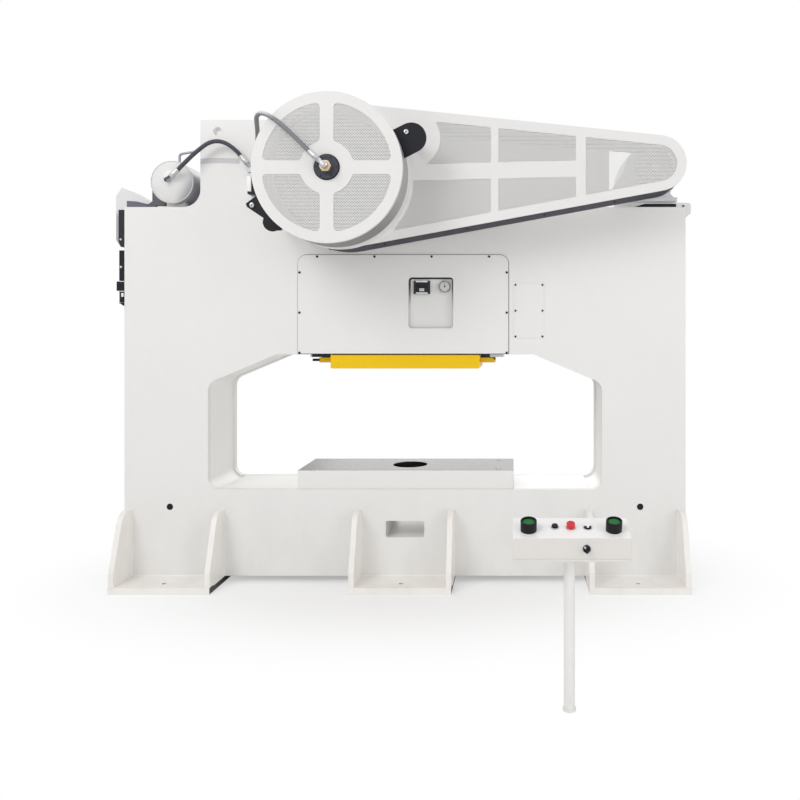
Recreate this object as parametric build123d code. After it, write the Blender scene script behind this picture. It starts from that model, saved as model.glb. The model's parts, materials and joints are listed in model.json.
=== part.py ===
from build123d import *
import math
import os

# Mechanical stamping press with a straight welded frame, a belt-driven flywheel and a two-hand console.
# All sizes are millimetres. +X is to the right, +Y goes into the machine and +Z is up.
# The origin lies on the floor under the middle of the press.

# Fits and gaps
slide_gap = 0.3
shaft_gap = 0.05
union_gap = 0.08

# Welded frame
column_width = 484
plate_thick = 40
crown_height = 855
head_inset_left = 440
head_inset_right = 1067
head_rise = 505
head_fillet = 100
wall_thick = 30
wall_inset = 10
deck_thick = 25
side_hole_inset = 263
side_hole_z = 436
side_hole_radius = 19
side_hole_depth = 25
lift_hole_inset = 99
lift_hole_drop = 65
lift_hole_radius = 24

# Window for the dies
window_width = 2286
window_floor = 537
window_side_height = 616
window_slope_rise = 167
window_top_width = 1492
window_corner = 66
liner_thick = 25
liner_recess = 10
liner_join = 5

# Slot and chute in the bed
slot_margin = 7
slot_floor = 259
slot_height = 96
slot_corner = 10
duct_thick = 12
drop_gap = 4
tube_thick = 9
bed_deck_thick = 40

# Feet
foot_thick = 36
foot_reach = 210
outer_foot_inset = 14
outer_foot_width = 563
middle_foot_width = 570
gusset_thick = 30
gusset_height = 388
gusset_top = 95
gusset_setback = 5
gusset_toe = 80
gusset_round = 90
anchor_reach = 135
anchor_radius = 13

# Bolster plate
bolster_width = 1260
bolster_inset = 24
bolster_thick = 105
bolster_chamfer = 4
die_hole_radius = 105
bolster_bolt_x = 540
bolster_bolt_y = 150
bolt_head_radius = 16
bolt_head_height = 18
bolt_socket = 8
counterbore_gap = 4
counterbore_depth = 25

# Ram and its guides
ram_width = 870
ram_side_gap = 5
ram_wall = 60
ram_web = 80
guide_room = 135
wing_gap = 50
wing_depth = 110
ram_plate_inset = 2
ram_plate_drop = 82
ram_plate_height = 79
ram_plate_front_inset = 5
ram_plate_back_inset = 25
ram_plate_round = 8
lug_depth = 300
lug_rise = 32
lug_height = 29
lug_round = 12
gib_gap = 3
gib_height = 558
gib_depth = 95
stroke = 60

# Covers on the front and the back
cover_shift = -10
cover_gap = 10
cover_thick = 8
cover_corner = 52
cover_lap = 45
cover_edge = 5
cover_screw_inset = 10
cover_screw_spread = [-0.83, -0.276, 0.276, 0.83]
recess_left = 20
recess_right = 280
recess_drop = 130
recess_height = 295
recess_depth = 38
recess_corner = 20
recess_sheet = 3
access_gap = 32
access_width = 174
access_rise = 90
access_height = 317
access_thick = 4
access_inset = 9
access_corner = 6
screw_radius = 7
screw_height = 5
access_screw_radius = 6
access_screw_height = 4

# Counter and gauge in the recess
counter_width = 94
counter_height = 76
counter_inset = 76
counter_drop = 57
counter_depth = 22
counter_border = 13
glass_depth = 4
gauge_radius = 33
gauge_inset = 51
gauge_drop = 53
gauge_depth = 26
gauge_wall = 3
gauge_pin_radius = 2.5
needle_length = 22
needle_thick = 1.6
needle_hub_radius = 5

# Gears and shafts
drum_x = -307
drum_rise = 102
gear_module = 9
gear_teeth = 70
pinion_teeth = 18
pressure_angle = 20
tooth_backlash = 0.5
gear_width = 75
gear_front_gap = 10
gear_back_gap = 5
pinion_overhang = 5
gear_web = 26
gear_rim = 46
gear_hub_radius = 125
gear_seat = 10
gear_hole_radius = 42
gear_clearance = 13
crank_radius = 75
eccentric_radius = 115
eccentric_half = 60
block_half = 55
block_width = 270
block_height = 270
block_round = 14
yoke_wall = 52
yoke_play = 7.2
yoke_side_play = 6
bush_thick = 15
carrier_thick = 40
carrier_rim = 35
pinion_radius = 45
bearing_thick = 55
flange_rim = 35
flange_thick = 26
cap_rim = 30
cap_thick = 24

# Flywheel and belts
fly_pitch_radius = 335
pulley_pitch_radius = 95
groove_count = 4
groove_pitch = 22
fly_standoff = 190
rim_edge = 17
belt_top = 15
belt_foot = 9
belt_height = 12
belt_crown = 4
groove_gap = 0.5
groove_depth_gap = 3
land_height = 7
fly_rim_depth = 62
fly_web = 34
fly_hub_radius = 120
fly_hub_front = 20
fly_hub_back = 6
fly_hole_radius = 40

# Clutch and brake
clutch_length = 340
clutch_wall = 30
clutch_bevel = 60
clutch_bore_gap = 12
disc_radius = 240
disc_thick = 26
disc_hub_radius = 82
disc_hub_length = 120
nose_radius = 60
nose_reach = 58
union_radius = 12
brake_start = 30
brake_hub_length = 60
brake_disc_radius = 170
brake_disc_thick = 20
brake_housing_rim = 30
brake_housing_wall = 14
brake_housing_deep = 120
brake_disc_gap = 6

# Guard drum
drum_radius = 380
drum_room = 47
drum_ring = 54
drum_spoke = 70
drum_hub = 135
drum_hub_hole = 66
drum_window_corner = 20
drum_lip = 24
drum_collar = 91
drum_clutch_gap = 95
sleeve_lap = 20
sheet = 3
mesh_sheet = 2
mesh_lap = 12

# Belt guard
guard_front_room = 100
guard_back_room = 15
guard_shift_x = 7
guard_shift_z = 21
guard_big_margin = 59
guard_small_margin = 56
guard_band = 52
guard_bar_shares = [0.484, 0.755]
guard_bar_widths = [42, 55]
guard_cross_left = 28
guard_cross_right = 59
guard_cross_high = 88
guard_corner = 6
guard_hub_gap = 50
guard_shaft_gap = 12
guard_vent_left = 242
guard_vent_top = 133
guard_vent_right = 66
guard_vent_bottom = 106
guard_vent_hollow = 87
guard_vent_bevel = 12
drum_window_gap = 14
post_radius = 20
post_clear = 156
post_clear_rise = 20
post_hole_gap = 1

# Ears and posts that hold the guard drum, placed by angle round the drum and distance beyond it
ear_setback = 104
ear_thick = 12
upper_post_angle = 27.6
upper_post_out = 54
lower_post_angle = 203.3
lower_post_out = 62
upper_lobe = (22.9, 66, 77)
lower_lobe = (220.6, 21, 48)
upper_ear_outline = [(33.7, -19), (33.9, 2), (32.8, 68), (13.2, 78), (10.3, 1), (10.0, -35)]
lower_ear_outline = [(196.2, -33), (197.9, 24), (200.8, 91), (203.0, 91), (214.6, 44), (216.5, -15)]
lower_ear_tail = [(225.7, 46), (229.5, 19), (228.9, -26), (216.5, -15)]
ear_bolt_radius = 14
ear_bolt_height = 10
standoff_radius = 18
standoff_places = [(-0.66, 0.6), (-0.72, -0.5), (1.6, 0.64), (1.95, -0.5)]

# Motor
motor_inset = 211
motor_base_thick = 31
motor_centre_height = 160
motor_radius = 148
motor_gap = 24
motor_length = 476
motor_foot_width = 318
motor_foot_length = 300
motor_foot_thick = 22
motor_foot_setback = 198
motor_bore_gap = 4
motor_wall = 30
nose_length = 16
boss_radius = 90
bell_length = 44
back_bell_length = 30
bell_rise = 6
cowl_length = 80
cowl_lap = 10
cowl_bevel = 13
cowl_hole_radius = 60
fin_count = 36
fin_height = 14
fin_thick = 5
leg_thick = 30
leg_top = 80
leg_drop = 60
leg_setback = 10
fan_hub_radius = 46
fan_blades = 7
fan_blade_thick = 4
fan_length = 34
terminal_half = 70
terminal_setback = 186
terminal_length = 160
terminal_height = 56
terminal_sink = 24
terminal_round = 12
motor_shaft_radius = 21
base_margin = 40
base_depth = 400
base_slot_half = 30
base_slot_width = 18
base_slot_x = 127
base_slot_front = -150
base_slot_back = 20
bracket_thick = 12
bracket_reach = 38
bracket_drop = 42
bracket_rise = 29
bracket_bevel = 9
bracket_front = -200
bracket_back = -120

# Air tank, valve and hoses
tank_inset = 276
tank_rise = 145
tank_radius = 122
tank_setback = -52
tank_length = 500
tank_dome = 52
tank_port_radius = 14
tank_port_length = 12
tank_elbow_standoff = 20
tank_elbow_reach = 30
tank_elbow_radius = 11
tank_elbow_angle = 38
air_line_y = -131
air_line_radius = 7
air_line_rise = 72
air_line_bend = 18
saddle_width = 110
saddle_rise = 30
saddle_places = [-178, 100]
saddle_thick = 40
strap_reach = 50
strap_thick = 12
strap_margin = 8
wedge_outline = [(-136, -27), (-123, -27), (-61, -116), (-61, -128), (-113, -128)]
wedge_foot = [(-113, -145), (-172, -145), (-172, -130), (-136, -105)]
wedge_gap = 4
wedge_depth = 36
valve_offset = 558
valve_rise = 115
valve_width = 56
valve_height = 100
valve_depth = 70
valve_round = 10
neck_radius = 13
neck_height = 29
tee_size = (54, 30, 26)
tee_shift = -6
knob_radius = 11
knob_height = 25
knob_shift = 10
port_radius = 10
side_port_angle = 130.4
side_port_reach = 50
front_port_way = (0.35, -0.75, 0.56)
front_port_reach = 46
hose_diameter = 24
hose_straight = 34
hex_radius = 26
hex_length = 22
hex_gap = 4
swivel_neck_radius = 17
swivel_neck_length = 10
swivel_radius = 19
swivel_length = 26
swivel_angle = 138
swivel_reach = 40
swivel_port_radius = 11
stem_depth = 44

# Each hose bend is a share of the way between its ports, then how far it stands forward and up
tank_hose_bends = [
    (0.199, 4, 68),
    (0.383, 7, 128),
    (0.532, 8, 161),
    (0.697, 8, 148),
    (0.855, 6, 90),
]
clutch_hose_bends = [
    (0.114, 67, 43),
    (0.277, 161, 110),
    (0.388, 218, 150),
    (0.504, 256, 180),
    (0.614, 258, 196),
    (0.701, 230, 193),
    (0.755, 177, 177),
    (0.801, 119, 150),
    (0.852, 69, 111),
    (0.91, 31, 67),
]

# Left side services
trunk_reach = 148
trunk_depth = 120
trunk_drop = 192
trunk_rise = 93
trunk_arm = 97
trunk_foot_drop = 36
trunk_low_bevel = 42
trunk_low_slope = 16
trunk_low_side = 26
trunk_peak = 51
trunk_peak_start = 34
trunk_peak_end = 78
trunk_arm_drop = 84
rail_reach = 140
rail_depth = 80
rail_drop = 231
rail_height = 184
filter_gap = 4
filter_reach = 126
filter_head_height = 56
filter_head_left = 32
filter_head_right = 60
filter_head_depth = 72
filter_radius = 30
filter_bowl_length = 70
filter_pipe_radius = 12
shelf_gap = 2
shelf_reach = 155
shelf_drop = 93
shelf_thick = 40

# Two-hand console
console_x = 849
console_width = 446
console_front = -1773
console_depth = 140
console_bottom = 590
console_front_height = 86
console_back_height = 127
console_sheet = 3
console_lip = 10
console_lip_reach = 4
pole_shift = -6
pole_radius = 21.5
pole_wall = 3
pole_rim = 4
pole_foot = 10
palm_spacing = 326
palm_setback = 15
palm_radius = 25
palm_sink = 4
palm_round = 5
palm_hole_radius = 16
palm_stem_length = 34
collar_wall = 5
collar_height = 40
collar_floor = 6
palm_travel = 6
start_shift = -62
stop_shift = -1
mode_shift = 64
key_shift = 54
key_rise = 49
small_hole_radius = 10.5
small_stem_length = 30
button_travel = 4
start_head_radius = 12
start_head_height = 10
stop_head_radius = 16.5
stop_head_height = 18
dial_radius = 14
dial_height = 8
grip_width = 7
grip_length = 26
grip_height = 12
dial_stem_length = 22

# Places worked out from the sizes above
frame_width = window_width + 2 * column_width
half_width = frame_width / 2
face_inside = eccentric_half + gear_back_gap + gear_width + gear_front_gap + carrier_thick
half_depth = face_inside + plate_thick
side_wall = half_width - wall_inset
window_shoulder = window_floor + window_side_height
window_top = window_shoulder + window_slope_rise
frame_height = window_top + crown_height
head_height = frame_height + head_rise
head_left = head_inset_left - half_width
head_right = half_width - head_inset_right
slot_width = 2 * (die_hole_radius + slot_margin)

drum_z = frame_height + drum_rise
gear_radius = gear_module * gear_teeth / 2
centre_distance = gear_module * (gear_teeth + pinion_teeth) / 2
crank_x = 0
crank_z = drum_z - math.sqrt(centre_distance ** 2 - (crank_x - drum_x) ** 2)
throw = stroke / 2
gear_back = -eccentric_half - gear_back_gap
gear_front = gear_back - gear_width
bearing_radius = pinion_radius + bearing_thick
cap_radius = crank_radius + bush_thick + cap_rim

wall_x = ram_width / 2 + guide_room
wing_x = wall_x - wing_gap
ram_plate_bottom = window_top - ram_plate_drop
ram_plate_top = ram_plate_bottom + ram_plate_height
ram_top = crank_z - gear_radius - gear_module - gear_clearance

cover_width = 2 * (wall_x + cover_lap - cover_edge)
cover_bottom = window_top + cover_edge
cover_top = crank_z - cap_radius - cover_gap
cover_front = -half_depth - cover_thick
recess_floor = cover_front + recess_depth
recess_top = cover_top - recess_drop
recess_bottom = recess_top - recess_height
access_left = cover_shift + cover_width / 2 + access_gap
access_right = access_left + access_width
access_bottom = cover_bottom + access_rise
access_top = access_bottom + access_height
counter_x = recess_left + counter_inset
counter_z = recess_top - counter_drop
gauge_x = recess_right - gauge_inset
gauge_z = recess_top - gauge_drop

rim_width = groove_pitch * (groove_count - 1) + 2 * rim_edge
groove_front = -half_depth - fly_standoff
groove_back = groove_front + rim_width
clutch_radius = drum_radius - drum_clutch_gap
clutch_back = groove_front - fly_hub_front
clutch_front = clutch_back - clutch_length
nose_front = clutch_front - nose_reach
drum_front = clutch_front - drum_room
ear_plane = drum_front + ear_setback

motor_x = half_width - motor_inset
motor_z = frame_height + motor_base_thick + motor_centre_height
motor_front = groove_back + motor_gap
motor_back = motor_front + motor_length
motor_foot_middle = motor_front + motor_foot_setback
terminal_front = motor_front + terminal_setback
terminal_back = terminal_front + terminal_length

guard_front = groove_front - guard_front_room
guard_back = groove_back + guard_back_room
drum_collar_start = guard_front - drum_collar
guard_big_x = drum_x + guard_shift_x
guard_big_z = drum_z + guard_shift_z
guard_big_radius = fly_pitch_radius + guard_big_margin
guard_small_radius = pulley_pitch_radius + guard_small_margin
guard_bar_places = [drum_x + share * (motor_x - drum_x) for share in guard_bar_shares]

tank_x = tank_inset - half_width
tank_z = frame_height + tank_rise
tank_front = -half_depth + tank_setback
tank_elbow_y = tank_front - tank_elbow_standoff
valve_x = drum_x - valve_offset
valve_y = -half_depth - valve_depth / 2
valve_z = frame_height + valve_rise
valve_top = valve_z + valve_height / 2
tee_z = valve_top + neck_height + tee_size[2] / 2 - 2
swivel_y = nose_front - hex_gap - hex_length - swivel_neck_length - swivel_length / 2

rail_top = frame_height - rail_drop
rail_bottom = rail_top - rail_height
filter_head_top = rail_bottom - filter_gap
filter_head_bottom = filter_head_top - filter_head_height
shelf_top = filter_head_bottom - filter_bowl_length - shelf_gap

console_front_top = console_bottom + console_front_height
console_back_top = console_bottom + console_back_height
console_tilt = math.degrees(math.atan2(console_back_top - console_front_top, console_depth))


def slab(sketch, y_low, y_high):
    # A sketch drawn in X and Z, made solid from y_low to y_high
    placed = Plane.XZ.offset(-y_high) * sketch
    return extrude(placed, amount=y_high - y_low, dir=(0, -1, 0))


def panel(sketch, x_low, x_high):
    # A sketch drawn in Y and Z, made solid from x_low to x_high
    placed = Plane.YZ.offset(x_low) * sketch
    return extrude(placed, amount=x_high - x_low, dir=(1, 0, 0))


def plate(sketch, z_low, z_high):
    # A sketch drawn in X and Y, made solid from z_low to z_high
    placed = Pos(0, 0, z_low) * sketch
    return extrude(placed, amount=z_high - z_low, dir=(0, 0, 1))


def outline(points):
    return make_face(Polyline(*points, close=True))


def rect(x_low, x_high, z_low, z_high):
    width = x_high - x_low
    height = z_high - z_low
    return Pos((x_low + x_high) / 2, (z_low + z_high) / 2) * Rectangle(width, height)


def round_rect(x_low, x_high, z_low, z_high, radius):
    width = x_high - x_low
    height = z_high - z_low
    return Pos((x_low + x_high) / 2, (z_low + z_high) / 2) * RectangleRounded(width, height, radius)


def disc(x, z, radius):
    return Pos(x, z) * Circle(radius)


def block(x_low, x_high, y_low, y_high, z_low, z_high):
    middle = Pos((x_low + x_high) / 2, (y_low + y_high) / 2, (z_low + z_high) / 2)
    return middle * Box(x_high - x_low, y_high - y_low, z_high - z_low)


def rod(x, z, radius, y_low, y_high):
    return slab(disc(x, z, radius), y_low, y_high)


def post(x, y, radius, z_low, z_high):
    return plate(Pos(x, y) * Circle(radius), z_low, z_high)


def ring(x, z, inner, outer, y_low, y_high):
    return slab(disc(x, z, outer) - disc(x, z, inner), y_low, y_high)


def turned(points, x, z):
    # A profile of (radius, y) points, turned about a line along Y through x and z
    return Pos(x, 0, z) * revolve(outline(points), Axis.Y, 360)


def around(x, z, radius, angle):
    # The place at a radius and an angle, in degrees, round a centre in the X and Z plane
    turn = math.radians(angle)
    return (x + radius * math.cos(turn), z + radius * math.sin(turn))


def corner_points(face, points):
    # The corners of a face that lie at the given places
    found = []
    for corner in face.vertices():
        for px, pz in points:
            if abs(corner.X - px) < 0.01 and abs(corner.Y - pz) < 0.01:
                found.append(corner)
    return found


def rounded(face, radius):
    # A face with its inner and outer corners rounded
    return offset(offset(face, -radius), radius)


# Frame


def window_face():
    half = window_width / 2
    top_half = window_top_width / 2
    lower = [(-half, window_floor), (half, window_floor)]
    upper = [(half, window_shoulder), (-half, window_shoulder)]
    face = outline(lower + [upper[0], (top_half, window_top), (-top_half, window_top), upper[1]])
    return fillet(corner_points(face, lower + upper), window_corner)


def frame_face():
    points = [
        (-half_width, foot_thick),
        (half_width, foot_thick),
        (half_width, frame_height),
        (head_right, frame_height),
        (head_right, head_height),
        (head_left, head_height),
        (head_left, frame_height),
        (-half_width, frame_height),
    ]
    face = outline(points)
    face = fillet(corner_points(face, [points[3], points[6]]), head_fillet)
    face -= window_face()
    slot_half = slot_width / 2
    face -= round_rect(-slot_half, slot_half, slot_floor, slot_floor + slot_height, slot_corner)
    face -= disc(head_left + lift_hole_inset, head_height - lift_hole_drop, lift_hole_radius)
    half = cover_width / 2 - cover_lap
    face -= rect(-half, half, window_top - 1, cover_top - cover_lap)
    return face - disc(drum_x, drum_z, bearing_radius)


def front_plate():
    solid = slab(frame_face(), -half_depth, -face_inside)
    for side in (-1, 1):
        x = side * (half_width - side_hole_inset)
        solid -= rod(x, side_hole_z, side_hole_radius, -half_depth, -half_depth + side_hole_depth)
    return solid


def back_plate():
    face = frame_face() - disc(crank_x, crank_z, crank_radius + bush_thick)
    return slab(face, face_inside, half_depth)


def frame_walls():
    inner = side_wall - wall_thick
    side = block(inner, side_wall, -face_inside, face_inside, foot_thick, frame_height)
    top = frame_height - deck_thick
    guide = block(wall_x, wall_x + wall_thick, -face_inside, face_inside, window_top, top)
    return Compound(children=[side, mirror(side, Plane.YZ), guide, mirror(guide, Plane.YZ)])


def deck_plates():
    inner = side_wall - wall_thick
    deep = face_inside
    low = frame_height - deck_thick
    top = head_height - deck_thick
    left = block(-inner, head_left, -deep, deep, low, frame_height)
    right = block(head_right, inner, -deep, deep, low, frame_height)
    end_left = block(head_left, head_left + wall_thick, -deep, deep, low, head_height)
    end_right = block(head_right - wall_thick, head_right, -deep, deep, low, head_height)
    roof = block(head_left + wall_thick, head_right - wall_thick, -deep, deep, top, head_height)
    return Compound(children=[left, right, end_left, end_right, roof])


def window_liner_right():
    band = offset(window_face(), liner_recess + liner_thick) - offset(window_face(), liner_recess)
    bed_half = window_width / 2 - window_corner - liner_join
    middle = (window_floor + window_shoulder) / 2
    upper = rect(wall_x + wall_thick, half_width, middle, window_top + liner_recess + liner_thick + 1)
    corner = rect(bed_half, half_width, 0, middle)
    return slab(band & (upper + corner), -face_inside, face_inside)


def window_liner_left():
    return mirror(window_liner_right(), Plane.YZ)


def bed_deck():
    half = window_width / 2 - window_corner - liner_join
    low = window_floor - bed_deck_thick
    deck = block(-half, half, -face_inside, face_inside, low, window_floor)
    return deck - post(0, 0, die_hole_radius + drop_gap, low - 1, window_floor + 1)


def scrap_chute():
    half = slot_width / 2
    top = slot_floor + slot_height
    outer = rect(-half - duct_thick, half + duct_thick, slot_floor - duct_thick, top + duct_thick)
    duct = slab(outer - rect(-half, half, slot_floor, top), -face_inside, face_inside)
    tube_top = window_floor - bed_deck_thick
    bore = die_hole_radius + drop_gap
    tube = post(0, 0, bore + tube_thick, top + duct_thick / 2, tube_top)
    return duct + tube - post(0, 0, bore, top - 1, tube_top + 1)


def foot_spans():
    end = half_width - outer_foot_inset
    start = end - outer_foot_width
    middle = middle_foot_width / 2
    return [(-end, -start), (-middle, middle), (start, end)]


def foot_plates():
    reach = half_depth + foot_reach
    anchor = half_depth + anchor_reach
    feet = []
    for low, high in foot_spans():
        face = rect(low, high, -reach, reach)
        for side in (-1, 1):
            face -= Pos((low + high) / 2, side * anchor) * Circle(anchor_radius)
        feet.append(plate(face, 0, foot_thick))
    return Compound(children=feet)


def gusset_face():
    reach = half_depth + foot_reach - gusset_setback
    top = foot_thick + gusset_height
    shoulder = (half_depth + gusset_top, top)
    toe = [(reach, foot_thick + gusset_toe), (reach, foot_thick)]
    face = outline([(half_depth, foot_thick), (half_depth, top), shoulder] + toe)
    return fillet(corner_points(face, [shoulder]), gusset_round)


def foot_gussets():
    gussets = []
    for low, high in foot_spans():
        for start in (low, high - gusset_thick):
            rear = panel(gusset_face(), start, start + gusset_thick)
            gussets.append(rear)
            gussets.append(mirror(rear, Plane.XZ))
    return Compound(children=gussets)


def bolster_bolt_places():
    return [(x, y) for x in (-bolster_bolt_x, bolster_bolt_x) for y in (-bolster_bolt_y, bolster_bolt_y)]


def bolster():
    half = bolster_width / 2
    deep = half_depth - bolster_inset
    top = window_floor + bolster_thick
    solid = block(-half, half, -deep, deep, window_floor, top)
    solid = chamfer(solid.edges().filter_by(Axis.Z), bolster_chamfer)
    solid -= post(0, 0, die_hole_radius, window_floor - 1, top + 1)
    for x, y in bolster_bolt_places():
        solid -= post(x, y, bolt_head_radius + counterbore_gap, top - counterbore_depth, top + 1)
    return solid


# Covers


def cover_face():
    left = cover_shift - cover_width / 2
    right = cover_shift + cover_width / 2
    top = [(right, cover_top), (left, cover_top)]
    face = outline([(left, cover_bottom), (right, cover_bottom)] + top)
    return fillet(corner_points(face, top), cover_corner)


def front_cover():
    opening = round_rect(recess_left, recess_right, recess_bottom, recess_top, recess_corner)
    skin = slab(cover_face() - opening, cover_front, -half_depth)
    tray = slab(offset(opening, recess_sheet) - opening, -half_depth, recess_floor + recess_sheet)
    floor = slab(opening, recess_floor, recess_floor + recess_sheet)
    return skin + tray + floor


def small_covers():
    rear = slab(cover_face(), half_depth, half_depth + cover_thick)
    face = round_rect(access_left, access_right, access_bottom, access_top, access_corner)
    access = slab(face, -half_depth - access_thick, -half_depth)
    return Compound(children=[rear, access])


def cover_screw_places():
    half = cover_width / 2 - cover_screw_inset
    top = cover_top - cover_screw_inset
    low = cover_bottom + cover_screw_inset / 2
    side_top = cover_top - cover_corner - 5 * cover_screw_inset
    places = [(cover_shift + half * share, top) for share in cover_screw_spread]
    for side in (-1, 1):
        for step in range(3):
            places.append((cover_shift + side * half, low + step * (side_top - low) / 2))
    return places


def access_screw_places():
    low = access_bottom + access_inset
    high = access_top - access_inset
    places = []
    for x in (access_left + access_inset, access_right - access_inset):
        for step in range(3):
            places.append((x, low + step * (high - low) / 2))
    return places


def fasteners():
    back = half_depth + cover_thick
    screws = []
    for x, z in cover_screw_places():
        screws.append(rod(x, z, screw_radius, cover_front - screw_height, cover_front))
        screws.append(rod(x, z, screw_radius, back, back + screw_height))
    access = -half_depth - access_thick
    for x, z in access_screw_places():
        screws.append(rod(x, z, access_screw_radius, access - access_screw_height, access))
    ear = ear_plane - ear_thick / 2
    for x, z in (upper_post_place(), lower_post_place()):
        head = Pos(x, z) * RegularPolygon(ear_bolt_radius, 6)
        screws.append(slab(head, ear - ear_bolt_height, ear))
    low = window_floor + bolster_thick - counterbore_depth
    head = Circle(bolt_head_radius) - RegularPolygon(bolt_socket, 6)
    for x, y in bolster_bolt_places():
        screws.append(plate(Pos(x, y) * head, low, low + bolt_head_height))
    return Compound(children=screws)


def counter_window():
    front = recess_floor - counter_depth
    centre = Pos(counter_x, counter_z)
    body = slab(centre * Rectangle(counter_width, counter_height), front, recess_floor)
    border = 2 * counter_border
    glass = centre * Rectangle(counter_width - border, counter_height - border)
    return body - slab(glass, front, front + glass_depth)


def gauge_case():
    front = recess_floor - gauge_depth
    neck = gauge_radius - gauge_wall - 1
    points = [
        (0, recess_floor),
        (neck, recess_floor),
        (neck, front + 8),
        (gauge_radius, front + 8),
        (gauge_radius, front),
        (gauge_radius - gauge_wall, front),
        (gauge_radius - gauge_wall, front + 7),
        (gauge_pin_radius, front + 7),
        (gauge_pin_radius, front + 3),
        (0, front + 3),
    ]
    return turned(points, gauge_x, gauge_z)


def gauge_needle():
    front = recess_floor - gauge_depth
    hub = disc(gauge_x, gauge_z, needle_hub_radius)
    tip = outline([(-2, 0), (2, 0), (0.6, needle_length), (-0.6, needle_length)])
    needle = slab(hub + Pos(gauge_x, gauge_z) * tip, front + 3 - needle_thick, front + 3)
    bore = gauge_pin_radius + shaft_gap
    return needle + ring(gauge_x, gauge_z, bore, needle_hub_radius, front + 3, front + 6)


# Ram and guides


def ram_body():
    half = ram_width / 2
    deep = face_inside - ram_side_gap
    wing_half = wing_depth / 2
    section = rect(-half, half, -deep, deep) + rect(-wing_x, wing_x, -wing_half, wing_half)
    solid = plate(section, ram_plate_top, ram_top)
    pocket_back = -wing_half - ram_web / 2
    low = ram_plate_top + ram_wall
    high = ram_top - ram_wall
    pocket = block(ram_wall, half - ram_wall, -deep - 1, pocket_back, low, high)
    pockets = pocket + mirror(pocket, Plane.YZ)
    solid -= pockets + mirror(pockets, Plane.XZ)
    slot_half = block_width / 2 + throw + yoke_side_play
    slot_low = crank_z + throw - block_height / 2 - yoke_play
    slot_high = crank_z + throw + block_height / 2 + yoke_play
    yoke_face = rect(-slot_half - yoke_wall, slot_half + yoke_wall, ram_top - 1, slot_high + yoke_wall)
    yoke_face -= rect(-slot_half, slot_half, slot_low, slot_high)
    return solid + slab(yoke_face, -block_half, block_half)


def ram_plate():
    half = ram_width / 2 - ram_plate_inset
    front = ram_plate_front_inset - half_depth
    back = half_depth - ram_plate_back_inset
    main = block(-half, half, front, back, ram_plate_bottom, ram_plate_top)
    main = fillet(main.edges().filter_by(Axis.Y), ram_plate_round)
    lug_deep = lug_depth / 2
    lug_low = ram_plate_bottom + lug_rise
    lugs = block(-wing_x, wing_x, -lug_deep, lug_deep, lug_low, lug_low + lug_height)
    lugs = fillet(lugs.edges().filter_by(Axis.Z), lug_round)
    return main + lugs


def ram_gibs():
    inner = ram_width / 2 + slide_gap
    front = wing_depth / 2 + slide_gap
    low = ram_plate_bottom + lug_rise + lug_height + gib_gap
    gib = block(inner, wall_x, front, front + gib_depth, low, low + gib_height)
    rear = [gib, mirror(gib, Plane.YZ)]
    return Compound(children=rear + [mirror(gib, Plane.XZ) for gib in rear])


# Gear drive


def involute(base, radius):
    # The angle, in radians, that an involute of a base circle has turned by at a radius
    roll = math.sqrt(max((radius / base) ** 2 - 1, 0))
    return roll - math.atan(roll)


def gear_face(teeth, x, z, first_angle):
    pitch = gear_module * teeth / 2
    base = pitch * math.cos(math.radians(pressure_angle))
    root = pitch - 1.25 * gear_module
    tip = pitch + gear_module
    half_at_pitch = math.pi / (2 * teeth) - tooth_backlash / (2 * pitch)
    start = max(base, root)
    flank = []
    for step in range(4):
        radius = start + (tip - start) * step / 3
        half = half_at_pitch + involute(base, pitch) - involute(base, radius)
        flank.append((radius, math.degrees(half)))
    if root < start:
        flank.insert(0, (root, flank[0][1]))
    points = []
    for tooth in range(teeth):
        middle = first_angle + tooth * 360 / teeth
        points += [around(x, z, radius, middle - half) for radius, half in flank]
        points += [around(x, z, radius, middle + half) for radius, half in reversed(flank)]
    return outline(points)


def mesh_angle():
    return math.degrees(math.atan2(drum_z - crank_z, drum_x - crank_x))


def bull_gear():
    face = gear_face(gear_teeth, crank_x, crank_z, mesh_angle())
    solid = slab(face - disc(crank_x, crank_z, crank_radius + gear_seat), gear_front, gear_back)
    inner = gear_radius - gear_rim
    side = (gear_width - gear_web) / 2
    solid -= ring(crank_x, crank_z, gear_hub_radius, inner, gear_front - 1, gear_front + side)
    solid -= ring(crank_x, crank_z, gear_hub_radius, inner, gear_back - side, gear_back + 1)
    for step in range(6):
        x, z = around(crank_x, crank_z, (gear_hub_radius + inner) / 2, 30 + step * 60)
        solid -= rod(x, z, gear_hole_radius, gear_front - 1, gear_back + 1)
    return solid


def crank_shaft():
    shaft = rod(crank_x, crank_z, crank_radius, -face_inside + 4, half_depth + 10)
    seat = rod(crank_x, crank_z, crank_radius + gear_seat, gear_front, gear_back)
    eccentric = rod(crank_x, crank_z + throw, eccentric_radius, -eccentric_half, eccentric_half)
    return shaft + seat + eccentric


def slide_block():
    centre = crank_z + throw
    half = block_width / 2
    face = rect(crank_x - half, crank_x + half, centre - block_height / 2, centre + block_height / 2)
    face = fillet(face.vertices(), block_round)
    face -= disc(crank_x, centre, eccentric_radius + shaft_gap)
    return slab(face, -block_half, block_half)


def pinion_shaft():
    face = gear_face(pinion_teeth, drum_x, drum_z, mesh_angle() + 180 + 180 / pinion_teeth)
    pinion = slab(face, gear_front - pinion_overhang, gear_back + pinion_overhang)
    front = clutch_front + clutch_wall + 2
    return pinion + rod(drum_x, drum_z, pinion_radius, front, half_depth + brake_start + brake_hub_length + 5)


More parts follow.
